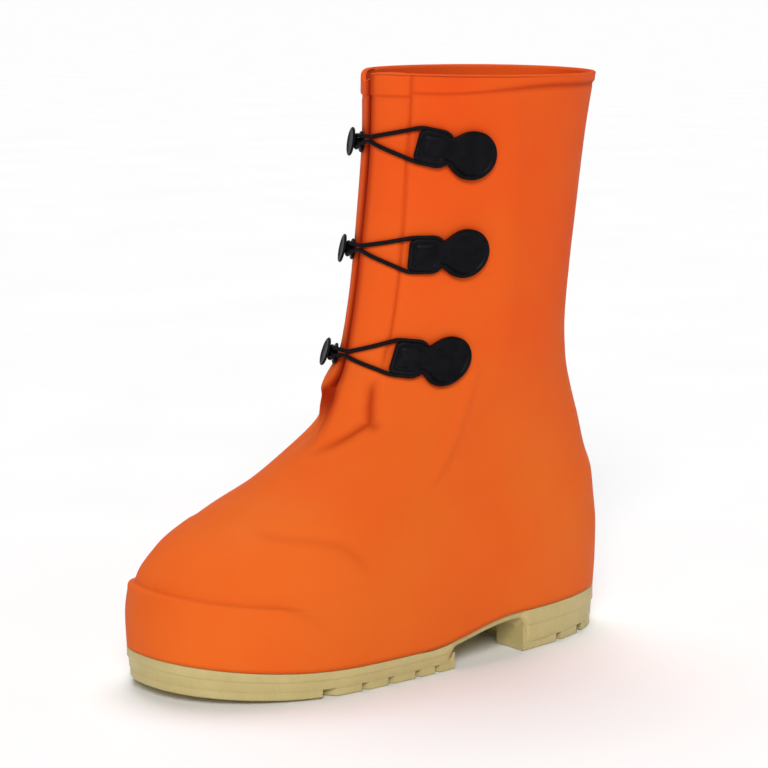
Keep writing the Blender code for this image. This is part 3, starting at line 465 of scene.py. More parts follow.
def pleat_path(height):
    """Arc positions and offsets off the plain wall of the pleat's columns, from outer to inner side."""
    share = float(fold_share(height))
    turn = math.pi * share
    fold = FOLD_LEAST + (FOLD_RETURN - FOLD_LEAST) * float(ramp(share, FOLD_OPENS, 1))
    runs = pleat_runs(fold)
    step = run_steps(runs)
    heading = np.concatenate([[0.0]] + [np.linspace(a, b, count + 1)[1:] for _, count, a, b in runs]) * turn
    vamp = 1 - float(np.clip((height - VAMP_TOP) / (THROAT - VAMP_TOP), 0, 1))
    step = step * (1 - vamp) + VAMP_WIDTH / len(step) * vamp
    middle = (heading[1:] + heading[:-1]) / 2
    arc = np.concatenate([[0.0], -np.cumsum(step * np.cos(middle))])
    offset = np.concatenate([[0.0], -np.cumsum(step * np.sin(middle))])
    columns = np.arange(len(arc))
    rise = ease(columns / (OUTER_COLUMNS - 1))
    back = ease((columns - (len(arc) - 1 - RAMP_COLUMNS)) / RAMP_COLUMNS)
    offset -= offset[-1] * (FLAP_RISE * rise + (1 - FLAP_RISE) * back)
    anchor = (BEND_LENGTH / math.pi + fold / 2) * (1 - vamp)
    return arc - arc[OUTER_COLUMNS + BEND_COLUMNS + FOLD_COLUMNS // 2] + anchor, offset


def graded(start, end, count):
    """Points after start up to end, closer together near start."""
    return start + (end - start) * (np.arange(1, count + 1) / count) ** SIDE_GRADING


def upper_row(height):
    """u, v and z of one row of points of the wall's middle, once round from the back, and their arcs."""
    arc, u, v = section_curve(height)
    normal_u, normal_v = curve_normals(u, v)
    pleat_arc, pleat_offset = pleat_path(height)
    outer = graded(pleat_arc[0], arc[-1], LATERAL_COLUMNS)[::-1]
    inner = graded(pleat_arc[-1], arc[0], MEDIAL_COLUMNS)[:-1]
    at = np.concatenate([outer, pleat_arc, inner])
    offset = np.concatenate([np.zeros(len(outer)), pleat_offset, np.zeros(len(inner))])
    for form in THROAT_FORMS:
        offset += form.size * bell(height, form.height, form.rise) * bell(at, form.arc, form.reach)
    row_u = np.interp(at, arc, u) + offset * np.interp(at, arc, normal_u)
    row_v = np.interp(at, arc, v) + offset * np.interp(at, arc, normal_v)
    edge_lift = section_at(height).lift * edge_rise(np.interp(at, arc, u))
    row_z = height + edge_lift + rim_slope(height, at, row_u, row_v)
    return np.stack([row_u, row_v, row_z], axis=1), at


def rim_slope(height, arc, u, v):
    """Rise of the upper rows towards the sloping rim, and their dip beside the flap's edge."""
    share, dip_share = (ramp(height, start, BOOT_HEIGHT) for start in (RIM_FROM, RIM_DIP_FROM))
    slope = RIM_PITCH * (u - RIM_MIDDLE_U) - RIM_ROLL * v
    reach = np.where(arc > RIM_DIP_ARC, RIM_DIP_REACH, RIM_DIP_INNER)
    return share * slope - dip_share * RIM_DIP * bell(arc, RIM_DIP_ARC, reach)


def row_heights():
    """Levels of the upper's rows, closer together at the ledges and the throat."""
    ends = [start for start, _ in ROW_RUNS[1:]] + [BOOT_HEIGHT]
    runs = []
    for (start, step), end in zip(ROW_RUNS, ends):
        runs.append(np.linspace(start, end, max(round((end - start) / step), 1), endpoint=False))
    return np.concatenate(runs + [[BOOT_HEIGHT]])


def grid_normals(grid):
    """Outward unit normals of rows of points that close round."""
    around = np.roll(grid, -1, axis=1) - np.roll(grid, 1, axis=1)
    up = np.gradient(grid, axis=0)
    normal = np.cross(up, around)
    return normal / np.linalg.norm(normal, axis=2, keepdims=True)


def line_distance(height, arc, line):
    """Distance from a line on the wall, and the share of its length at the nearest point."""
    line = np.array(line, float)
    lengths = np.hypot(*np.diff(line, axis=0).T)
    starts = np.concatenate([[0], np.cumsum(lengths)])
    best, share = np.full(height.shape, np.inf), np.zeros(height.shape)
    for a, b, length, start in zip(line[:-1], line[1:], lengths, starts):
        t = np.clip(((height - a[0]) * (b - a)[0] + (arc - a[1]) * (b - a)[1]) / length**2, 0, 1)
        away = np.hypot(height - a[0] - t * (b - a)[0], arc - a[1] - t * (b - a)[1])
        nearer = away < best
        best = np.where(nearer, away, best)
        share = np.where(nearer, (start + t * length) / starts[-1], share)
    return best, share


def fades(share, start, end):
    """1 along a line, falling to 0 over shares of its length at the start and at the end."""
    kept = ease(share / start) if start else np.ones(share.shape)
    return kept * ease((1 - share) / end) if end else kept


def crease_shift(height, arc):
    """How far the whole wall moves out or in at its soft creases."""
    away, share = line_distance(height, arc, NOTCH_UP)
    shift = -NOTCH_DEPTH * bell(away, 0, NOTCH_REACH) * fades(share, *NOTCH_FADES)
    away, share = line_distance(height, arc, NOTCH_IN)
    spread = NOTCH_REACH + NOTCH_SPREAD * share
    shift = np.minimum(shift, -NOTCH_DEPTH * bell(away, 0, spread) * (1 - share) ** NOTCH_IN_POWER)
    away, share = line_distance(height, arc, NOTCH_OUT)
    shift = np.minimum(shift, -NOTCH_DEPTH * bell(away, 0, NOTCH_REACH) * (1 - share) ** NOTCH_OUT_POWER)
    away, share = line_distance(height, arc, SIDE_CREASE)
    shift = shift + SIDE_RIDGE * bell(away, 0, SIDE_REACH) * fades(share, *SIDE_FADES)
    wave = sum(np.sin(height / up + arc / around + phase) for up, around, phase in WAVES)
    rise, fall = ease((height - RAND_TOP) / WAVE_FADE), ease((BOOT_HEIGHT - height) / WAVE_FADE)
    return shift + WAVE_DEPTH * wave * rise * fall


def rand_share(u):
    """1 where the rand stands out in full at the toe, 0 behind it."""
    return ramp(u / FOOT_LENGTH, RAND_FADE_FROM, RAND_FADE_TO)


def outer_step(height, arc, u, v, shown):
    """How far the outer face stands out from the plain wall at the rand, hem and moulded lines."""
    soft = ramp(u / FOOT_LENGTH, RAND_SOFT_FROM, RAND_SOFT_TO)
    ledge = RAND_LEDGE + RAND_SOFT * soft
    edge = ease((RAND_TOP + RAND_LEDGE - height) / ledge)
    lip = RAND_LIP * bell(height, RAND_TOP - RAND_LIP_DROP, RAND_LIP_REACH) * (1 - soft)
    step = rand_share(u) * (RAND_TOE * edge + lip)
    above = height - hem_level(arc)
    step += HEM_STEP * ease(above / HEM_LEDGE + 1) * shown
    step -= HEM_GROOVE * bell(above, -2 * HEM_LEDGE, HEM_GROOVE_REACH) * shown
    away, share = line_distance(height, arc, STRIP_EDGE)
    step -= STRIP_GROOVE * bell(away, 0, STRIP_GROOVE_REACH) * shown * fades(share, *STRIP_FADES)
    away, share = line_distance(height, np.abs(arc), COUNTER_EDGE)
    step += COUNTER_RIDGE * bell(away, 0, COUNTER_REACH) * fades(share, *COUNTER_FADES)
    cap = cap_distance(u, v)
    cap_shown = ramp(height, CAP_FROM, CAP_FULL) * ease(1 - cap / CAP_RUN)
    return step + CAP_STEP * ease(cap / CAP_EDGE + 1 / 2) * cap_shown


def hem_back(arc):
    """0 at the front of the hem, 1 where it is narrow at the back."""
    return ramp(np.abs(arc), HEM_FROM, HEM_TO)


def hem_level(arc):
    """Height of the hem's lower edge: lowest on the front strip, higher towards the back."""
    width = HEM_FRONT - (HEM_FRONT - HEM_BACK) * hem_back(arc)
    on_strip = ease(STRIP_EDGE[0][1] + HEM_STRIP_OVER - np.abs(arc))
    return BOOT_HEIGHT - width - (HEM_STRIP - HEM_FRONT) * on_strip


def cap_distance(u, v):
    """Distance in front of the toe cap's rear edge."""
    return u - (CAP_U - CAP_SWEEP * np.abs((v - CAP_MIDDLE) / CAP_HALF) ** 4)


def fold_shade(height):
    """Painted shade of the pleat's columns: deep at the flap's edge and in the pocket below, a dark painted
    shadow in the gap.
    """
    way = np.concatenate([[0.0], np.cumsum(run_steps(pleat_runs(FOLD_RETURN)))])
    pleat = slice(LATERAL_COLUMNS, LATERAL_COLUMNS + len(way))
    closed = ramp(fold_share(height[:, pleat]), FOLD_SHADE_FROM, FOLD_SHADE_FULL)
    profile = np.interp(way, FOLD_WAYS, FOLD_SHADES)
    pocket = POCKET_SHADE * bell(height[:, pleat], POCKET_HEIGHT, POCKET_RISE) * np.minimum(profile, 1.0)
    shade = np.zeros(height.shape)
    shade[:, pleat] = np.maximum(profile * closed, pocket)
    return shade


def crease_shade(height, arc, u, v, hidden):
    """0 on open faces to 1 in deep creases, where shade is painted as a darker colour, and 2 for the painted
    shadow in the pleat's gap.
    """
    shade = fold_shade(height)
    for line, strength, reach, start, end in SHADE_LINES:
        away, share = line_distance(height, arc, line)
        shade = np.maximum(shade, strength * bell(away, 0, reach) * fades(share, start, end) * (1 - hidden))
    back = hem_back(arc)
    hem = HEM_SHADE + (HEM_SHADE_BACK - HEM_SHADE) * back
    hem_line = bell(height, hem_level(arc) - HEM_LEDGE, HEM_SHADE_REACH * (1 + back))
    shade = np.maximum(shade, hem * hem_line * (1 - hidden))
    cap_sides = ease((np.abs(v - CAP_MIDDLE) - CAP_SHADE_FROM) / CAP_SHADE_RUN)
    cap_line = bell(cap_distance(u, v), -CAP_SHADE_BACK, CAP_SHADE_REACH)
    return np.maximum(shade, CAP_SHADE * cap_line * (ramp(height, CAP_FROM, CAP_FULL) * cap_sides))


def upper_surfaces():
    """Outer and inner face of the upper as grids of points, rows up and columns round, and the shade painted
    on the outer face.
    """
    heights = row_heights()
    rows = [upper_row(float(height)) for height in heights]
    middle = np.stack([points for points, _ in rows])
    arc = np.stack([at for _, at in rows])
    height = np.repeat(heights[:, None], arc.shape[1], axis=1)
    in_fold = LATERAL_COLUMNS + OUTER_COLUMNS + BEND_COLUMNS
    hidden = np.zeros(arc.shape[1])
    hidden[in_fold - BEND_COLUMNS // 2 : in_fold + FOLD_COLUMNS + BEND_COLUMNS + UNDER_COLUMNS] = 1.0
    ramp = in_fold + FOLD_COLUMNS + BEND_COLUMNS + UNDER_COLUMNS
    hidden[ramp : ramp + RAMP_COLUMNS] = np.linspace(1, 0, RAMP_COLUMNS)
    hidden = hidden * fold_share(height)
    shown = 1 - hidden
    middle = middle + grid_normals(middle) * (crease_shift(height, arc) * shown)[:, :, None]
    normal = grid_normals(middle)
    u, v = middle[..., 0], middle[..., 1]
    step = outer_step(height, arc, u, v, shown)
    outer = middle + normal * (WALL / 2 + step)[:, :, None]
    inner = middle - normal * (WALL / 2)
    for face in (outer, inner):
        face[0, :, 2] = EDGE_HEIGHT + edge_rise(face[0, :, 0])
        face[-1, :, 2] = middle[-1, :, 2] - RIM_ROUND
    return outer, inner, crease_shade(height, arc, u, v, hidden)


# Meshes

def make_object(name, points, faces, material):
    """A closed piece from points in millimetres, its faces turned outwards."""
    mesh = bpy.data.meshes.new(name)
    mesh.from_pydata((np.asarray(points, float).reshape(-1, 3) * MM).tolist(), [], faces)
    work = bmesh.new()
    work.from_mesh(mesh)
    bmesh.ops.recalc_face_normals(work, faces=work.faces)
    work.to_mesh(mesh)
    work.free()
    mesh.shade_smooth()
    mesh.materials.append(material)
    return add_to_scene(name, mesh)


def add_to_scene(name, data):
    thing = bpy.data.objects.new(name, data)
    bpy.context.scene.collection.objects.link(thing)
    return thing


def place(thing, node):
    """The piece rides on the root body and stands for a CAD node, which is hidden."""
    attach(thing, "root")
    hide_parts(node)


def tube_faces(rings, sides):
    """Quads between rings of points that close round."""
    faces = []
    for i in range(rings - 1):
        for j in range(sides):
            k = (j + 1) % sides
            a, b = i * sides, (i + 1) * sides
            faces.append((a + j, a + k, b + k, b + j))
    return faces


def sheet_faces(rows, columns, low):
    """Quads of a grid of points, and of an equal grid from the index low on, turned over."""
    faces = []
    for i in range(rows - 1):
        for j in range(columns - 1):
            a = i * columns + j
            quad = (a, a + 1, a + columns + 1, a + columns)
            faces.append(quad)
            faces.append(tuple(low + corner for corner in quad[::-1]))
    return faces


def make_upper(outer, inner, shade, material):
    """Outer face, rounded rim, inner face and the flat edge on the sole, as one closed tube of rings."""
    middle, half = (outer[-1] + inner[-1]) / 2, (outer[-1] - inner[-1]) / 2
    up = np.array([0.0, 0.0, RIM_ROUND])
    turns = np.linspace(0, math.pi, RIM_POINTS + 2)[1:-1]
    rim = [middle + half * math.cos(t) + up * math.sin(t) for t in turns]
    rings = np.concatenate([outer, np.stack(rim), inner[::-1]])
    count, sides = rings.shape[:2]
    faces = tube_faces(count, sides)
    last = (count - 1) * sides
    faces += [(last + j, last + (j + 1) % sides, (j + 1) % sides, j) for j in range(sides)]
    shell = make_object("upper_shell", to_frame(rings), faces, material)
    # Painted shade goes on the outer face's points; the rim and the inner face get none
    painted = np.zeros(rings.shape[:2])
    painted[: len(shade)] = shade
    layer = shell.data.attributes.new("crease", "FLOAT", "POINT")
    layer.data.foreach_set("value", painted.ravel().astype(np.float32))
    return shell


# The sole

def foot_ring(inset, from_outside):
    """Plan outline at the feather edge, once round from the heel, moved in from a face of the wall."""
    _, u, v = section_curve(EDGE_HEIGHT)
    normal_u, normal_v = curve_normals(u, v)
    face = WALL / 2 + RAND_TOE * rand_share(u) if from_outside else -WALL / 2
    return u + normal_u * (face - inset), v + normal_v * (face - inset)


def sides_of(outline):
    """An outline's two sides, rows u and v, each from the heel to the toe."""
    half = CURVE_POINTS // 2
    return {LATERAL: outline[:, half:][:, ::-1], MEDIAL: outline[:, : half + 1]}


TREAD_OUTLINE = sides_of(np.stack(foot_ring(SIDE_STEP + SIDE_DRAFT + LUG_INSET, True)))


def tread_point(station, share):
    """u and v of a point at a share of the length and of the half width, outer side positive."""
    u = station * FOOT_LENGTH
    lateral, medial = (float(np.interp(u, *TREAD_OUTLINE[side])) for side in (LATERAL, MEDIAL))
    return u, (lateral + medial) / 2 + share * (lateral - medial) / 2


def window(u, rear, front, run):
    """1 between two stations, falling to 0 over a run outside them."""
    station = u / FOOT_LENGTH
    return ease((station - rear + run) / run) * ease((front + run - station) / run)


def slab_top(u):
    """Top of the sole's slab, under the feather edge, with a little more room where that edge curves."""
    return EDGE_HEIGHT - GAP + edge_rise(u) - LIFT_CLEAR * window(u, LIFT_TOP, LIFT_FOOT, BREAST_RUN)


def slab_floor(u):
    """Underside of the sole's slab: tread base, shank and heel base."""
    station = u / FOOT_LENGTH
    shank = ease((SHANK_FRONT - station) / SHANK_FRONT_RUN + 1)
    heel = ease((BREAST - station) / BREAST_RUN)
    forefoot = LUG_DEPTH + toe_spring(u, TREAD_SPRING)
    arch = EDGE_HEIGHT + edge_rise(u) - SHANK_THICK
    return forefoot + (arch - forefoot) * shank + (HEEL_LUG_DEPTH - arch) * heel


def capped_rings(rings):
    """Faces of a stack of outlines, each once round from the heel, closed by strips across both ends."""
    count, sides = rings.shape[:2]
    faces = tube_faces(count, sides)
    for start in (0, (count - 1) * sides):
        for k in range(sides // 2):
            corners = [k, k + 1, (sides - k - 1) % sides, (sides - k) % sides]
            faces.append(tuple(start + corner for corner in dict.fromkeys(corners)))
    return faces


def slab_rings():
    """Outlines of the sole's slab from top to bottom, with rounded edges and the step on its side."""
    u, _ = foot_ring(0.0, True)
    arch = window(u, BREAST, SHANK_FRONT, BREAST_RUN)
    top, floor = slab_top(u), slab_floor(u)
    step = floor + (top - floor) * STEP_SHARE
    base = SIDE_STEP + SIDE_DRAFT + ARCH_FOOT_INSET * arch
    profile = (
        (SOLE_ROUND, top),
        (SOLE_ROUND * CORNER, top - SOLE_ROUND * CORNER),
        (0.0, top - SOLE_ROUND),
        (0.0, step + STEP_SLOPE + SOLE_ROUND / 2),
        (SOLE_ROUND * CORNER_NEAR, step + STEP_SLOPE),
        (SIDE_STEP, step),
        (SIDE_STEP + SIDE_DRAFT * CORNER_END, step - SOLE_ROUND / 2),
        (base - SOLE_ROUND * CORNER_END, floor + SOLE_ROUND),
        (base + SOLE_ROUND * CORNER_NEAR, floor + SOLE_ROUND * CORNER),
        (base + SOLE_ROUND, floor),
    )
    rings = []
    for inset, z in profile:
        ring_u, ring_v = foot_ring(inset + ARCH_TOP_INSET * arch, True)
        rings.append(np.stack([ring_u, ring_v, z], axis=1)[:-1])
    return np.stack(rings)


def refined(rails, step):
    """The same rows of points with more points along them and more rows between them."""
    for _ in range(2):
        rails = np.swapaxes(rails, 0, 1)
        rows = [rails[:1]]
        for a, b in zip(rails[:-1], rails[1:]):
            count = max(math.ceil(float(np.linalg.norm(b - a, axis=1).max()) / step), 1)
            rows.append(np.stack([a + (b - a) * t for t in np.arange(1, count + 1) / count]))
        rails = np.concatenate(rows)
    return rails


def border(rows, columns):
    """Indices round the edge of a grid of points."""
    edge = list(range(columns))
    edge += [i * columns + columns - 1 for i in range(1, rows)]
    edge += [(rows - 1) * columns + j for j in range(columns - 2, -1, -1)]
    return edge + [i * columns for i in range(rows - 2, 0, -1)]


def towards(a, b, length):
    """Points moved a length from a towards b."""
    return a + (b - a) / np.maximum(np.linalg.norm(b - a, axis=-1, keepdims=True), TINY) * length


def tread_solid(rails):
    """Points and faces of a raised tread piece with a chamfer round its foot."""
    plan = refined(np.asarray(rails, float), LUG_STEP)
    rows, columns = plan.shape[:2]
    tip = plan.copy()
    tip[0], tip[-1] = towards(plan[0], plan[1], LUG_CHAMFER), towards(plan[-1], plan[-2], LUG_CHAMFER)
    shifted = tip.copy()
    shifted[:, 0] = towards(tip[:, 0], tip[:, 1], LUG_CHAMFER)
    shifted[:, -1] = towards(tip[:, -1], tip[:, -2], LUG_CHAMFER)
    edge = border(rows, columns)
    flat = plan.reshape(-1, 2)
    root = np.concatenate([flat, slab_floor(flat[:, :1]) + LUG_ROOT], axis=1)
    side = np.concatenate([flat[edge], toe_spring(flat[edge, :1], TREAD_SPRING) + LUG_CHAMFER], axis=1)
    shifted = shifted.reshape(-1, 2)
    foot = np.concatenate([shifted, toe_spring(shifted[:, :1], TREAD_SPRING)], axis=1)
    low = len(root) + len(side)
    faces = sheet_faces(rows, columns, low)
    ring = [len(root) + i for i in range(len(edge))]
    for i, k in zip(range(len(edge)), [*range(1, len(edge)), 0]):
        faces.append((edge[k], edge[i], ring[i], ring[k]))
        faces.append((ring[k], ring[i], low + edge[i], low + edge[k]))
    return np.concatenate([root, side, foot]), faces


def bar_rails(bar):
    """A bar across the forefoot, its ends swept back, with a zigzag in the middle where it has a notch."""
    line = [(-BAR_END, bar.sweep), (-BAR_BEND, 0.0)]
    if bar.notch:
        line += [(-NOTCH_HALF, 0.0), (0.0, bar.notch), (NOTCH_HALF, 0.0)]
    line += [(BAR_BEND, 0.0), (BAR_END, bar.sweep)]
    middle = np.array([tread_point(bar.station - back, share) for share, back in line])
    along = np.gradient(middle, axis=0)
    along /= np.linalg.norm(along, axis=1, keepdims=True)
    across = np.stack([along[:, 1], -along[:, 0]], axis=1) * BAR_WIDTH / 2
    return np.stack([middle + across, middle - across])


def block_rails(block):
    """A block from the outline inwards, its inner corners carried towards the toe."""
    rails = []
    for station, sweep in ((block.front, block.front_sweep), (block.rear, block.rear_sweep)):
        shares = 1 - block.reach * np.linspace(0, 1, BLOCK_POINTS)
        stations = station + sweep * np.linspace(0, 1, BLOCK_POINTS)
        rails.append([tread_point(at, block.side * share) for at, share in zip(stations, shares)])
    return rails


def even_points(line_u, line_v, count):
    """Points at even distances along a line."""
    way = lengths_along(line_u, line_v)
    spots = np.linspace(0, way[-1], count)
    return np.stack([np.interp(spots, way, values) for values in (line_u, line_v)], axis=1)


def toe_plate_rails():
    """The smooth plate under the toe, from the outline back to its notched rear edge."""
    edge = np.array([tread_point(station, share) for station, share in TOE_PLATE_EDGE])
    knots, spots = np.linspace(0, 1, len(edge)), np.linspace(0, 1, TOE_PLATE_POINTS)
    inner = np.stack([np.interp(spots, knots, edge[:, i]) for i in (0, 1)], axis=1)
    medial, lateral = TREAD_OUTLINE[MEDIAL], TREAD_OUTLINE[LATERAL]
    medial, lateral = medial[:, medial[0] > edge[0, 0]], lateral[:, lateral[0] > edge[-1, 0]]
    rim = np.concatenate([edge[:1].T, medial, lateral[:, ::-1], edge[-1:].T], axis=1)
    rim, inner = even_points(*rim, TOE_PLATE_POINTS)[1:-1], inner[1:-1]
    return [rim, (rim + inner) / 2, inner]


def heel_rim_rails():
    """The raised rim round the back of the heel."""
    medial, lateral = TREAD_OUTLINE[MEDIAL], TREAD_OUTLINE[LATERAL]
    medial = medial[:, medial[0] < HEEL_RIM_MEDIAL * FOOT_LENGTH]
    lateral = lateral[:, lateral[0] < HEEL_RIM_LATERAL * FOOT_LENGTH]
    rim = even_points(*np.concatenate([medial[:, ::-1], lateral], axis=1), HEEL_RIM_POINTS)
    centre = np.array([HEEL_RIM_CENTRE * FOOT_LENGTH, 0.0])
    return [rim, centre + (rim - centre) * HEEL_RIM_SHARE]


def heel_plate_rails(plate):
    return [
        [tread_point(station, plate.medial), tread_point(station, plate.lateral)]
        for station in (plate.front, plate.rear)
    ]


def make_outsole(material):
    """The slab and its tread, joined to one closed mesh."""
    rings = slab_rings()
    slab = make_object("outsole_slab", to_frame(rings), capped_rings(rings), material)
    pieces = [bar_rails(bar) for bar in BARS]
    pieces += [block_rails(block) for block in BLOCKS]
    pieces += [heel_plate_rails(plate) for plate in HEEL_PLATES]
    pieces += [toe_plate_rails(), heel_rim_rails()]
    points, faces = [], []
    for rails in pieces:
        start = sum(len(group) for group in points)
        solid, quads = tread_solid(rails)
        points.append(to_frame(solid))
        faces += [tuple(start + corner for corner in quad) for quad in quads]
    tread = make_object("tread", np.concatenate(points), faces, material)
    join = slab.modifiers.new("tread", "BOOLEAN")
    join.operation = "UNION"
    join.solver = "EXACT"
    join.object = tread
    bpy.context.view_layer.update()
    whole = bpy.data.meshes.new_from_object(slab.evaluated_get(bpy.context.evaluated_depsgraph_get()))
    for helper in (slab, tread):
        bpy.data.objects.remove(helper)
    whole.shade_smooth()
    whole.set_sharp_from_angle(angle=math.radians(SOLE_SHARP_DEG))
    return add_to_scene("outsole_moulded", whole)


def make_insole(material):
    u, _ = foot_ring(INSOLE_CLEAR, False)
    low = slab_top(u) + GAP
    rings = []
    for inset, z in (
        (INSOLE_ROUND / 2, 0.0),
        (0.0, INSOLE_ROUND / 2),
        (0.0, INSOLE_THICK - INSOLE_ROUND),
        (INSOLE_ROUND * CORNER, INSOLE_THICK - INSOLE_ROUND * CORNER),
        (INSOLE_ROUND, INSOLE_THICK),
    ):
        ring_u, ring_v = foot_ring(INSOLE_CLEAR + inset, False)
        rings.append(np.stack([ring_u, ring_v, low + z], axis=1)[:-1:2])
    rings = np.stack(rings)
    return make_object("insole_felt", to_frame(rings), capped_rings(rings), material)


# Closures

def shaft_table():
    """u, v and plan normals of the plain wall's middle over heights and arcs of the shaft's front."""
    table = []
    for height in SHAFT_HEIGHTS:
        arc, u, v = section_curve(float(height))
        normal_u, normal_v = curve_normals(u, v)
        table.append([np.interp(SHAFT_ARCS, arc, values) for values in (u, v, normal_u, normal_v)])
    return np.array(table)


SHAFT_TABLE = shaft_table()


def shaft_points(height, arc, above):
    """Points at heights and arcs, above the middle of the plain wall, and the plan normals there."""
    height, arc = np.asarray(height, float), np.asarray(arc, float)
    i = np.clip((height - SHAFT_HEIGHTS[0]) / np.diff(SHAFT_HEIGHTS)[0], 0, len(SHAFT_HEIGHTS) - LAST_CELL)
    j = np.clip((arc - SHAFT_ARCS[0]) / np.diff(SHAFT_ARCS)[0], 0, len(SHAFT_ARCS) - LAST_CELL)
    i0, j0 = i.astype(int), j.astype(int)
    s, t = i - i0, j - j0
    u, v, normal_u, normal_v = (
        (SHAFT_TABLE[i0, k, j0] * (1 - t) + SHAFT_TABLE[i0, k, j0 + 1] * t) * (1 - s)
        + (SHAFT_TABLE[i0 + 1, k, j0] * (1 - t) + SHAFT_TABLE[i0 + 1, k, j0 + 1] * t) * s
        for k in range(4)
    )
    size = np.hypot(normal_u, normal_v)
    normal = np.stack([normal_u / size, normal_v / size, np.zeros_like(size)], axis=-1)
    return np.stack([u, v, height], axis=-1) + normal * np.asarray(above, float)[..., None], normal


def wall_faces(height, arc, tree):
    """Distances of the wall's outer face from the middle of the plain wall."""
    spots, normals = shaft_points(height, arc, np.full(np.shape(height), SEAT_RAY))
    return np.array([SEAT_RAY - tree.ray_cast(Vector(s), Vector(-n))[3] for s, n in zip(spots, normals)])


def tab_half(a):
    """Half height of the tab at distances from its front end, with its neck run smoothly into both ends."""
    disc = DISC_HALF * np.sqrt(np.clip(1 - ((a - TAB_LENGTH + DISC_LONG) / DISC_LONG) ** 2, 0, 1))
    corner = np.clip(TAB_CORNER - np.minimum(a, GRIP_LENGTH - a), 0, TAB_CORNER)
    grip = np.where(a <= GRIP_LENGTH, GRIP_HALF - TAB_CORNER + np.sqrt(TAB_CORNER**2 - corner**2), 0.0)
    neck = np.where(a < TAB_LENGTH - DISC_LONG, NECK_HALF, 0.0)
    front = np.where(a <= TAB_CORNER, 0.0, neck)
    stack = np.stack([disc, grip, front]) / TAB_BLEND
    smooth = TAB_BLEND * np.log(np.exp(stack).sum(axis=0))
    return np.where((a < TAB_CORNER) | (a > TAB_LENGTH - DISC_LONG), np.maximum(disc, grip), smooth)


def tab_place(closure, a, b):
    """Height and arc of points of the tab's plan: a back from its front end, b up."""
    tilt = math.radians(closure.tilt_deg)
    arc = closure.tab_arc + a * math.cos(tilt) + b * math.sin(tilt)
    return closure.tab_height - a * math.sin(tilt) + b * math.cos(tilt), arc


def tab_relief(a, b, outline):
    """Height of the tab's face: rounded edge, raised rim, sunk middle and a low panel on the grip."""
    points = np.stack([a, b], axis=-1).reshape(-1, 1, 2)
    inside = np.linalg.norm(points - outline[None], axis=-1).min(axis=1).reshape(a.shape)
    edge = np.clip(inside / TAB_ROUND, 0, 1)
    face = TAB_THICK - TAB_ROUND * (1 - np.sqrt(1 - (1 - edge) ** 2))
    face -= TAB_SUNK * ease((inside - TAB_RIM) / TAB_SLOPE)
    panel = ease((inside - PANEL_INSET) / TAB_SLOPE) * ease((PANEL_BACK - a) / TAB_SLOPE)
    return face + PANEL_RISE * panel


def make_tab(closure, tree, material):
    a = TAB_LENGTH / 2 * (1 - np.cos(np.linspace(TAB_TIP, math.pi - TAB_TIP, TAB_STATIONS)))
    half = tab_half(a)
    outline = np.concatenate([np.stack([a, half], 1), np.stack([a, -half], 1)])
    ends = np.linspace(-1, 1, TAB_ACROSS)
    outline = np.concatenate([outline, np.stack([np.full(TAB_ACROSS, a[0]), half[0] * ends], 1)])
    grid_a = np.repeat(a[:, None], TAB_ACROSS, axis=1)
    grid_b = half[:, None] * np.sin(ends * math.pi / 2)[None]
    height, arc = tab_place(closure, grid_a, grid_b)
    wall = wall_faces(height.ravel(), arc.ravel(), tree).reshape(grid_a.shape)
    seat = np.maximum(wall, WALL / 2) + GAP
    top = shaft_points(height, arc, seat + tab_relief(grid_a, grid_b, outline))[0]
    under = shaft_points(height, arc, seat)[0]
    low = TAB_STATIONS * TAB_ACROSS
    faces = sheet_faces(TAB_STATIONS, TAB_ACROSS, low)
    edge = border(TAB_STATIONS, TAB_ACROSS)
    for i, k in zip(edge, edge[1:] + edge[:1]):
        faces.append((k, i, low + i, low + k))
    points = to_frame(np.concatenate([top, under]))
    return make_object(f"tab_{closure.name}_moulded", points, faces, material)


def button_axes(closure, tree):
    """Seat of the button on the wall, its axis, and two directions across it: back along the wall, and up."""
    reach = BUTTON_FOOT_RADIUS
    height, arc = closure.button_height, closure.button_arc
    spots, _ = shaft_points(
        np.array([height, height, height + reach, height - reach, height]),
        np.array([arc - reach, arc + reach, arc, arc, arc]),
        np.zeros(5),
    )
    back, up, middle = spots[0] - spots[1], spots[2] - spots[3], spots[4]
    axis = np.cross(up, back)
    axis /= np.linalg.norm(axis)
    back /= np.linalg.norm(back)
    up = np.cross(back, axis)
    touch = []
    for turn in np.linspace(0, 2 * math.pi, BUTTON_SIDES, endpoint=False):
        for share in np.linspace(0, 1, SEAT_RINGS):
            spot = middle + (back * math.cos(turn) + up * math.sin(turn)) * reach * share
            touch.append(SEAT_RAY - tree.ray_cast(Vector(spot + axis * SEAT_RAY), Vector(-axis))[3])
    return middle + axis * (max(touch) + GAP), axis, back, up


def button_profile():
    """Radius and height of the button's outline, from the middle of its foot to the middle of its head."""
    neck, head = BUTTON_NECK_RADIUS, BUTTON_HEAD_RADIUS
    thick = BUTTON_HEAD - BUTTON_NECK
    outline = [(BUTTON_FOOT_RADIUS * r, BUTTON_FOOT * z) for r, z in FOOT_FORM]
    outline += [(neck + more, BUTTON_FOOT + z) for more, z in NECK_LOW_FORM]
    outline += [(neck + more, BUTTON_NECK - z) for more, z in NECK_HIGH_FORM]
    outline += [(head * r, BUTTON_NECK + thick * z) for r, z in HEAD_FORM]
    return outline + [(head * r, BUTTON_HEAD - z) for r, z in DISH_FORM]


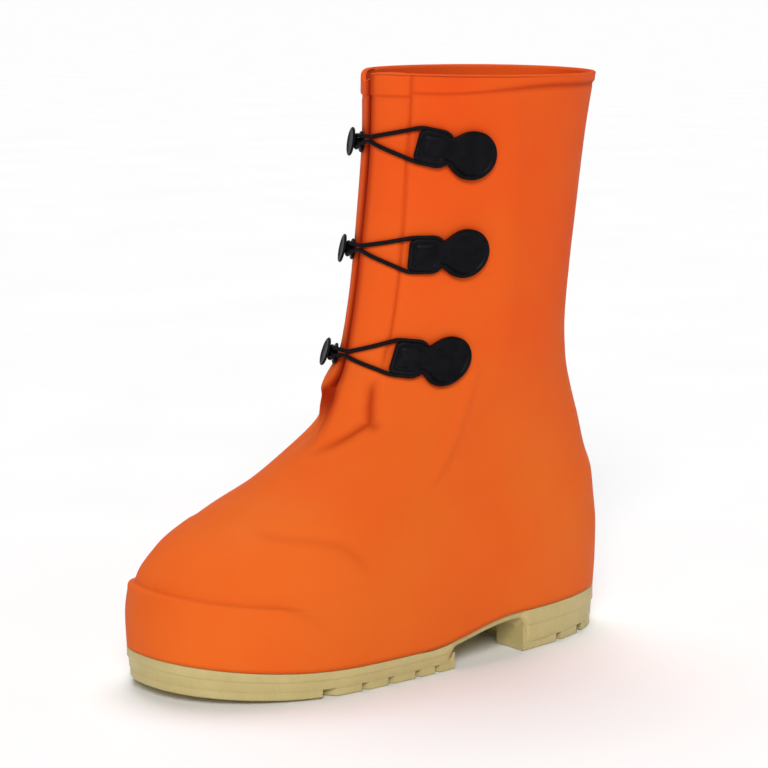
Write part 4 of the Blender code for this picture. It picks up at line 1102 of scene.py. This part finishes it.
def make_button(closure, tree, material):
    foot, axis, back, up = button_axes(closure, tree)
    profile = button_profile()
    turn = np.linspace(0, 2 * math.pi, BUTTON_SIDES, endpoint=False)
    rings = []
    for radius, z in profile[1:-1]:
        lean = math.radians(BUTTON_LEAN_DEG) * ease((z - BUTTON_FOOT) / (BUTTON_NECK - BUTTON_FOOT))
        across = up * math.cos(lean) - axis * math.sin(lean)
        rings.append([foot + axis * z + (back * math.cos(t) + across * math.sin(t)) * radius for t in turn])
    ends = np.stack([foot, foot + axis * profile[-1][1]])
    points = np.concatenate([np.array(rings).reshape(-1, 3), ends])
    faces = tube_faces(len(rings), BUTTON_SIDES)
    low, high, last = len(points) - 2, len(points) - 1, (len(rings) - 1) * BUTTON_SIDES
    for j in range(BUTTON_SIDES):
        k = (j + 1) % BUTTON_SIDES
        faces.append((low, k, j))
        faces.append((high, last + j, last + k))
    return make_object(f"button_{closure.name}_moulded", to_frame(points), faces, material)


def smoothed(values, reach):
    """Moving average that keeps both ends."""
    padded = np.concatenate([[values[0]] * reach, values, [values[-1]] * reach])
    kernel = np.ones(2 * reach + 1) / (2 * reach + 1)
    return np.convolve(padded, kernel, "valid")


def even_path(path, step):
    """Points at even distances along a smooth curve through the given points."""
    path = np.asarray(path, float)
    ends = np.concatenate([[2 * path[0] - path[1]], path, [2 * path[-1] - path[-2]]])
    fine = []
    for p0, p1, p2, p3 in zip(ends[:-3], ends[1:-2], ends[2:-1], ends[3:]):
        for t in np.linspace(0, 1, CURVE_STEPS)[:-1]:
            fine.append(
                p1 + (p2 - p0) * t / 2 + (2 * p0 - 5 * p1 + 4 * p2 - p3) * t**2 / 2
                + (3 * p1 - p0 - 3 * p2 + p3) * t**3 / 2
            )
    fine = np.array(fine + [path[-1]])
    way = np.concatenate([[0], np.cumsum(np.linalg.norm(np.diff(fine, axis=0), axis=1))])
    spots = np.linspace(0, way[-1], max(round(way[-1] / step), 2))
    return np.stack([np.interp(spots, way, fine[:, i]) for i in range(3)], axis=1)


def cord_route(closure, tree):
    """Centre line of the loop: from inside the tab along the grip, over the pleat and round the neck."""
    turn_radius = BUTTON_NECK_RADIUS + 2 * CORD_CLEAR + CORD_RADIUS
    foot, axis, back, up = button_axes(closure, tree)
    centre = foot + axis * CORD_ON_NECK
    strands = []
    for side in (1, -1):
        plan = [tab_place(closure, a, side * b) for a, b in CORD_ON_GRIP]
        start = np.array(plan[-1])
        meet = closure.button_height + CORD_RISE + side * CORD_AT_EDGE
        end = np.array([meet, CORD_MEET])
        plan += [tuple(start + (end - start) * t) for t in np.linspace(0, 1, CORD_FREE_POINTS)[1:]]
        plan += [(meet, PLEAT_EDGE)]
        height, arc = np.array(plan).T
        clear = wall_faces(height, arc, tree) + CORD_CLEAR + CORD_RADIUS
        beside_tab = WALL / 2 + GAP + TAB_THICK / 2
        lift = np.maximum(clear, np.where(arc >= closure.tab_arc, beside_tab, 0.0))
        lift = np.maximum(smoothed(lift, CORD_SMOOTH // 2), clear)
        strand = list(shaft_points(height, arc, lift)[0])
        edge, neck = strand[-1], centre + up * side * turn_radius
        level = edge - neck - axis * np.dot(edge - neck, axis)
        leave = neck + level / np.linalg.norm(level) * (BUTTON_HEAD_RADIUS + CORD_RADIUS)
        strand += [(edge + leave) / 2, leave, (leave + neck) / 2, neck]
        strands.append(strand)
    angles = np.linspace(math.pi / 2, -math.pi / 2, CORD_TURN_POINTS)[1:-1]
    turn = [centre + (back * math.cos(t) + up * math.sin(t)) * turn_radius for t in angles]
    route = even_path(strands[0] + turn + strands[1][::-1], CORD_STEP)
    route = np.stack([smoothed(values, CORD_SOFT) for values in route.T], axis=1)
    return np.array([off_wall(spot, tree) for spot in route])


def off_wall(spot, tree):
    """A point of a cord's middle, moved out where the cord would sink into the wall."""
    near, _, _, away = tree.find_nearest(Vector(spot))
    return np.array(near) + (spot - np.array(near)) * max((CORD_RADIUS + CORD_CLEAR / 2) / away, 1.0)


def make_cord(closure, tree, material):
    """A round tube along the route, with the way along it and the turn round it as its texture map."""
    path = cord_route(closure, tree)
    along = np.gradient(path, axis=0)
    along /= np.linalg.norm(along, axis=1, keepdims=True)
    side = np.cross(along[0], (0.0, 0.0, 1.0))
    turn = np.linspace(0, 2 * math.pi, CORD_SIDES, endpoint=False)
    rings = []
    for point, direction in zip(path, along):
        side = side - direction * np.dot(side, direction)
        side /= np.linalg.norm(side)
        other = np.cross(direction, side)
        rings.append([point + (side * math.cos(t) + other * math.sin(t)) * CORD_RADIUS for t in turn])
    count = len(rings)
    faces = tube_faces(count, CORD_SIDES)
    faces += [tuple(range(CORD_SIDES))[::-1], tuple(range((count - 1) * CORD_SIDES, count * CORD_SIDES))]
    cord = make_object(f"cord_{closure.name}_elastic", to_frame(rings), faces, material)
    layer = cord.data.uv_layers.new(name="braid")
    for polygon in cord.data.polygons:
        columns = [cord.data.loops[i].vertex_index % CORD_SIDES for i in polygon.loop_indices]
        wraps = max(columns) == CORD_SIDES - 1 and min(columns) == 0 and len(columns) == 4
        for i in polygon.loop_indices:
            ring, column = divmod(cord.data.loops[i].vertex_index, CORD_SIDES)
            column += CORD_SIDES if wraps and column == 0 else 0
            layer.data[i].uv = (ring * CORD_STEP, column / CORD_SIDES)
    return cord


# Materials

# Sockets of the mix node that carry colours
MIX_COLOURS, MIX_RESULT = (6, 7), 2


def feed(socket, value):
    """Links another node's output to a socket or sets the socket to a constant."""
    if isinstance(value, bpy.types.NodeSocket):
        socket.id_data.links.new(value, socket)
    elif socket.type == "RGBA":
        socket.default_value = (*value, 1.0)
    else:
        socket.default_value = value


def add_node(tree, kind, **inputs):
    """A node with its input sockets fed by name."""
    made = tree.nodes.new(kind)
    for name, value in inputs.items():
        feed(made.inputs[name], value)
    return made


def add_span(tree, value, low, high, start, end):
    """A value's range carried to another, clamped."""
    limits = {"From Min": low, "From Max": high, "To Min": start, "To Max": end}
    return add_node(tree, "ShaderNodeMapRange", Value=value, **limits).outputs["Result"]


class Looks:
    """Builds one Principled material, node by node. A value is a constant or another node's output."""

    def __init__(self, name, roughness, specular):
        self.material = bpy.data.materials.new(name)
        self.material.use_nodes = True
        self.tree = self.material.node_tree
        self.shader = self.tree.nodes["Principled BSDF"]
        self.set("Roughness", roughness)
        self.set("Specular IOR Level", specular)

    def set(self, socket, value):
        feed(self.shader.inputs[socket], value)

    def node(self, kind, **inputs):
        return add_node(self.tree, kind, **inputs)

    def place(self, scale=(1.0, 1.0, 1.0)):
        where = self.node("ShaderNodeTexCoord").outputs["Object"]
        return self.node("ShaderNodeMapping", Vector=where, Scale=scale).outputs["Vector"]

    def noise(self, scale, detail=2.0, rough=0.5, stretch=(1.0, 1.0, 1.0)):
        where = self.place(stretch)
        made = self.node("ShaderNodeTexNoise", Vector=where, Scale=scale, Detail=detail, Roughness=rough)
        return made.outputs["Fac"]

    def span(self, value, low, high, start, end):
        return add_span(self.tree, value, low, high, start, end)

    def math(self, kind, a, b):
        made = self.node("ShaderNodeMath")
        made.operation = kind
        for socket, value in zip(made.inputs, (a, b)):
            feed(socket, value)
        return made.outputs["Value"]

    def mix(self, share, a, b):
        """Colour a turned into colour b by a share."""
        made = self.node("ShaderNodeMix", Factor=share)
        made.data_type = "RGBA"
        for socket, value in zip(MIX_COLOURS, (a, b)):
            feed(made.inputs[socket], value)
        return made.outputs[MIX_RESULT]

    def bump(self, height, strength, distance, below=None):
        made = self.node("ShaderNodeBump", Height=height, Strength=strength, Distance=distance)
        if below is not None:
            feed(made.inputs["Normal"], below)
        return made.outputs["Normal"]


# Colours, with painted shade, a painted shadow and a painted lit tone among them
ORANGE, ORANGE_WARM_AND_LIT = (0.71, 0.074, 0.011), (0.72, 0.138, 0.018)
ORANGE_GLOSS = (1.0, 0.5, 0.08)
ORANGE_PAINTED_SHADE, ORANGE_PAINTED_SHADOW = (0.36, 0.022, 0.004), (0.08, 0.005, 0.003)
TAN, TAN_PALE, TAN_SPECK_AND_SHADE = (0.46, 0.37, 0.15), (0.52, 0.43, 0.19), (0.30, 0.22, 0.08)
FELT, FELT_PALE = (0.16, 0.15, 0.13), (0.27, 0.25, 0.22)
BLACK, BLACK_PALE = (0.002, 0.002, 0.003), (0.005, 0.005, 0.007)
FLOOR_GREY, FLOOR_PALE, WHITE = (0.94, 0.94, 0.94), (0.96, 0.96, 0.96), (1.0, 1.0, 1.0)

# Painted light: heights in metres over which the foot's warmer, lit-looking colour fades, and its share
LIT_FOOT_HEIGHTS, LIT_FOOT_SHARE = (0.10, 0.26), 0.5

# Painted shade in narrow places of the upper, a darker colour where little light reaches: reach in metres,
# samples
OCCLUSION_SHADE_REACH, OCCLUSION_SHADE_SAMPLES = 0.007, 8

# Light that spreads inside the upper: share, reach of each colour, scale in metres
SPREAD, SPREAD_COLOURS, SPREAD_SCALE = 0.06, (1.0, 0.25, 0.06), 0.003

# Braid of the cords: distance from strand to strand along the cord in millimetres, and strands round it
BRAID_LENGTH, BRAID_STRANDS = 2.2, 4


def orange_pvc():
    look = Looks("orange_pvc", 0.6, 0.06)
    look.set("Specular Tint", ORANGE_GLOSS)
    parts = look.node("ShaderNodeSeparateXYZ", Vector=look.place())
    # Painted light: the colour turns warmer towards the foot, standing in for the light on the vamp; the
    # noise cloud is a random change of tone
    foot = look.span(parts.outputs["Z"], *LIT_FOOT_HEIGHTS, LIT_FOOT_SHARE, 0.0)
    cloud = look.span(look.noise(14.0, 2.0), 0.3, 0.7, 0.0, 0.4)
    colour = look.mix(look.math("ADD", cloud, foot), ORANGE, ORANGE_WARM_AND_LIT)
    # Painted shade from the upper's creases, hem, toe cap line and pleat: from 0 to 1 the colour turns to the
    # painted shade
    painted = look.node("ShaderNodeAttribute")
    painted.attribute_name = "crease"
    colour = look.mix(look.span(painted.outputs["Fac"], 0.0, 1.0, 0.0, 1.0), colour, ORANGE_PAINTED_SHADE)
    # Painted shade: darker where ambient occlusion finds little open space
    near = look.node("ShaderNodeAmbientOcclusion", Distance=OCCLUSION_SHADE_REACH)
    near.samples = OCCLUSION_SHADE_SAMPLES
    colour = look.mix(look.span(near.outputs["AO"], 0.25, 0.85, 0.8, 0.0), colour, ORANGE_PAINTED_SHADE)
    # From 1 to 2 the mask paints the dark shadow in the pleat's gap
    gap = look.span(painted.outputs["Fac"], 1.0, 2.0, 0.0, 1.0)
    look.set("Base Color", look.mix(gap, colour, ORANGE_PAINTED_SHADOW))
    flow = look.noise(60.0, 4.0, 0.6, (1.0, 1.0, 0.35))
    dull = look.span(painted.outputs["Fac"], 0.3, 1.0, 0.0, 0.4)
    look.set("Roughness", look.math("ADD", look.span(flow, 0.3, 0.7, 0.54, 0.68), dull))
    soft = look.bump(flow, 0.25, 0.0006)
    look.set("Normal", look.bump(look.noise(1500.0, 2.0), 0.12, 0.00012, soft))
    look.set("Subsurface Weight", SPREAD)
    look.set("Subsurface Radius", SPREAD_COLOURS)
    look.set("Subsurface Scale", SPREAD_SCALE)
    return look.material


def tan_pvc():
    look = Looks("tan_pvc", 0.5, 0.4)
    cloud = look.span(look.noise(35.0, 4.0, 0.6), 0.35, 0.65, 0.0, 1.0)
    colour = look.mix(cloud, TAN, TAN_PALE)
    speck = look.span(look.noise(900.0, 2.0), 0.62, 0.72, 0.0, 0.35)
    colour = look.mix(speck, colour, TAN_SPECK_AND_SHADE)
    # Painted shade in the tread's hollows: darker colour where the surface is concave
    hollow = look.node("ShaderNodeNewGeometry").outputs["Pointiness"]
    colour = look.mix(look.span(hollow, 0.38, 0.49, 0.8, 0.0), colour, TAN_SPECK_AND_SHADE)
    look.set("Base Color", colour)
    look.set("Roughness", look.span(look.noise(120.0, 3.0), 0.3, 0.7, 0.42, 0.6))
    look.set("Normal", look.bump(look.noise(700.0, 3.0), 0.2, 0.0002))
    return look.material


def insole_felt():
    look = Looks("insole_felt", 0.95, 0.2)
    fibre = look.noise(900.0, 4.0, 0.7, (1.0, 0.25, 1.0))
    look.set("Base Color", look.mix(look.span(fibre, 0.35, 0.65, 0.0, 1.0), FELT, FELT_PALE))
    look.set("Normal", look.bump(fibre, 0.5, 0.0005))
    return look.material


def black_rubber():
    look = Looks("black_rubber", 0.38, 0.07)
    haze = look.noise(160.0, 4.0, 0.6)
    look.set("Base Color", look.mix(look.span(haze, 0.4, 0.7, 0.0, 1.0), BLACK, BLACK_PALE))
    look.set("Roughness", look.span(haze, 0.3, 0.7, 0.36, 0.54))
    look.set("Normal", look.bump(look.noise(1800.0, 2.0), 0.12, 0.0001))
    return look.material


def black_elastic():
    """Braid: two sets of strands that wind round the cord both ways."""
    look = Looks("black_elastic", 0.7, 0.12)
    where = look.node("ShaderNodeUVMap")
    where.uv_map = "braid"
    parts = look.node("ShaderNodeSeparateXYZ", Vector=where.outputs["UV"])
    along = look.math("MULTIPLY", parts.outputs["X"], 2.0 * math.pi / BRAID_LENGTH)
    round_it = look.math("MULTIPLY", parts.outputs["Y"], 2.0 * math.pi * BRAID_STRANDS)
    one = look.math("SINE", look.math("ADD", along, round_it), 0.0)
    other = look.math("SINE", look.math("SUBTRACT", along, round_it), 0.0)
    braid = look.span(look.math("MULTIPLY", one, other), -1.0, 1.0, 0.0, 1.0)
    look.set("Base Color", look.mix(braid, BLACK, BLACK_PALE))
    look.set("Normal", look.bump(braid, 0.8, 0.0003))
    return look.material


def floor_look():
    look = Looks("floor", 0.9, 0.1)
    grain = look.span(look.noise(6.0, 2.0), 0.3, 0.7, 0.0, 1.0)
    look.set("Base Color", look.mix(grain, FLOOR_GREY, FLOOR_PALE))
    return look.material


# Stage

def make_floor(material):
    turn = np.linspace(0, 2 * math.pi, FLOOR_SIDES, endpoint=False)
    points = np.stack([np.cos(turn), np.sin(turn), turn * 0], axis=1) * FLOOR_RADIUS / MM
    floor = make_object("floor", points, [tuple(range(FLOOR_SIDES))], material)
    floor.location.z = -FLOOR_DROP


def soft_light(name, towards_light, angle_deg, strength):
    """A wide, even light from far away."""
    light = bpy.data.lights.new(name, "SUN")
    light.angle = math.radians(angle_deg)
    light.energy = strength
    lamp = add_to_scene(name, light)
    lamp.rotation_euler = Vector(towards_light).to_track_quat("Z", "Y").to_euler()


def make_sky():
    """A sky that is pale near the horizon and dim overhead."""
    world = bpy.data.worlds.new("studio")
    world.use_nodes = True
    tree = world.node_tree
    way = add_node(tree, "ShaderNodeTexCoord").outputs["Generated"]
    rise = add_node(tree, "ShaderNodeSeparateXYZ", Vector=way).outputs["Z"]
    sky = tree.nodes["Background"].inputs
    feed(sky["Color"], WHITE)
    feed(sky["Strength"], add_span(tree, rise, *HORIZON_RISE, HORIZON, SKY))
    bpy.context.scene.world = world


def make_stage():
    """Floor, key light from above the camera, a soft light from overhead and the sky."""
    make_floor(floor_look())
    soft_light("key", *KEY_LIGHT)
    soft_light("top", *TOP_LIGHT)
    make_sky()
    bpy.context.scene.view_settings.view_transform = "Standard"


def make_camera():
    lens = bpy.data.cameras.new("camera")
    lens.sensor_width = CAMERA_SENSOR
    lens.lens = CAMERA_LENS
    lens.clip_start, lens.clip_end = CAMERA_CLIP
    camera = add_to_scene("camera", lens)
    camera.location = CAMERA_PLACE
    camera.rotation_euler = (CAMERA_AIM - CAMERA_PLACE).to_track_quat("-Z", "Y").to_euler()
    bpy.context.scene.camera = camera


def build():
    outer, inner, shade = upper_surfaces()
    tree = BVHTree.FromPolygons(outer.reshape(-1, 3).tolist(), tube_faces(*outer.shape[:2]))
    place(make_upper(outer, inner, shade, orange_pvc()), "upper")
    place(make_outsole(tan_pvc()), "outsole")
    place(make_insole(insole_felt()), "insole")
    rubber, elastic = black_rubber(), black_elastic()
    for closure in CLOSURES:
        place(make_tab(closure, tree, rubber), f"tab_{closure.name}")
        place(make_button(closure, tree, rubber), f"button_{closure.name}")
        place(make_cord(closure, tree, elastic), f"cord_{closure.name}")


build()
make_stage()
make_camera()
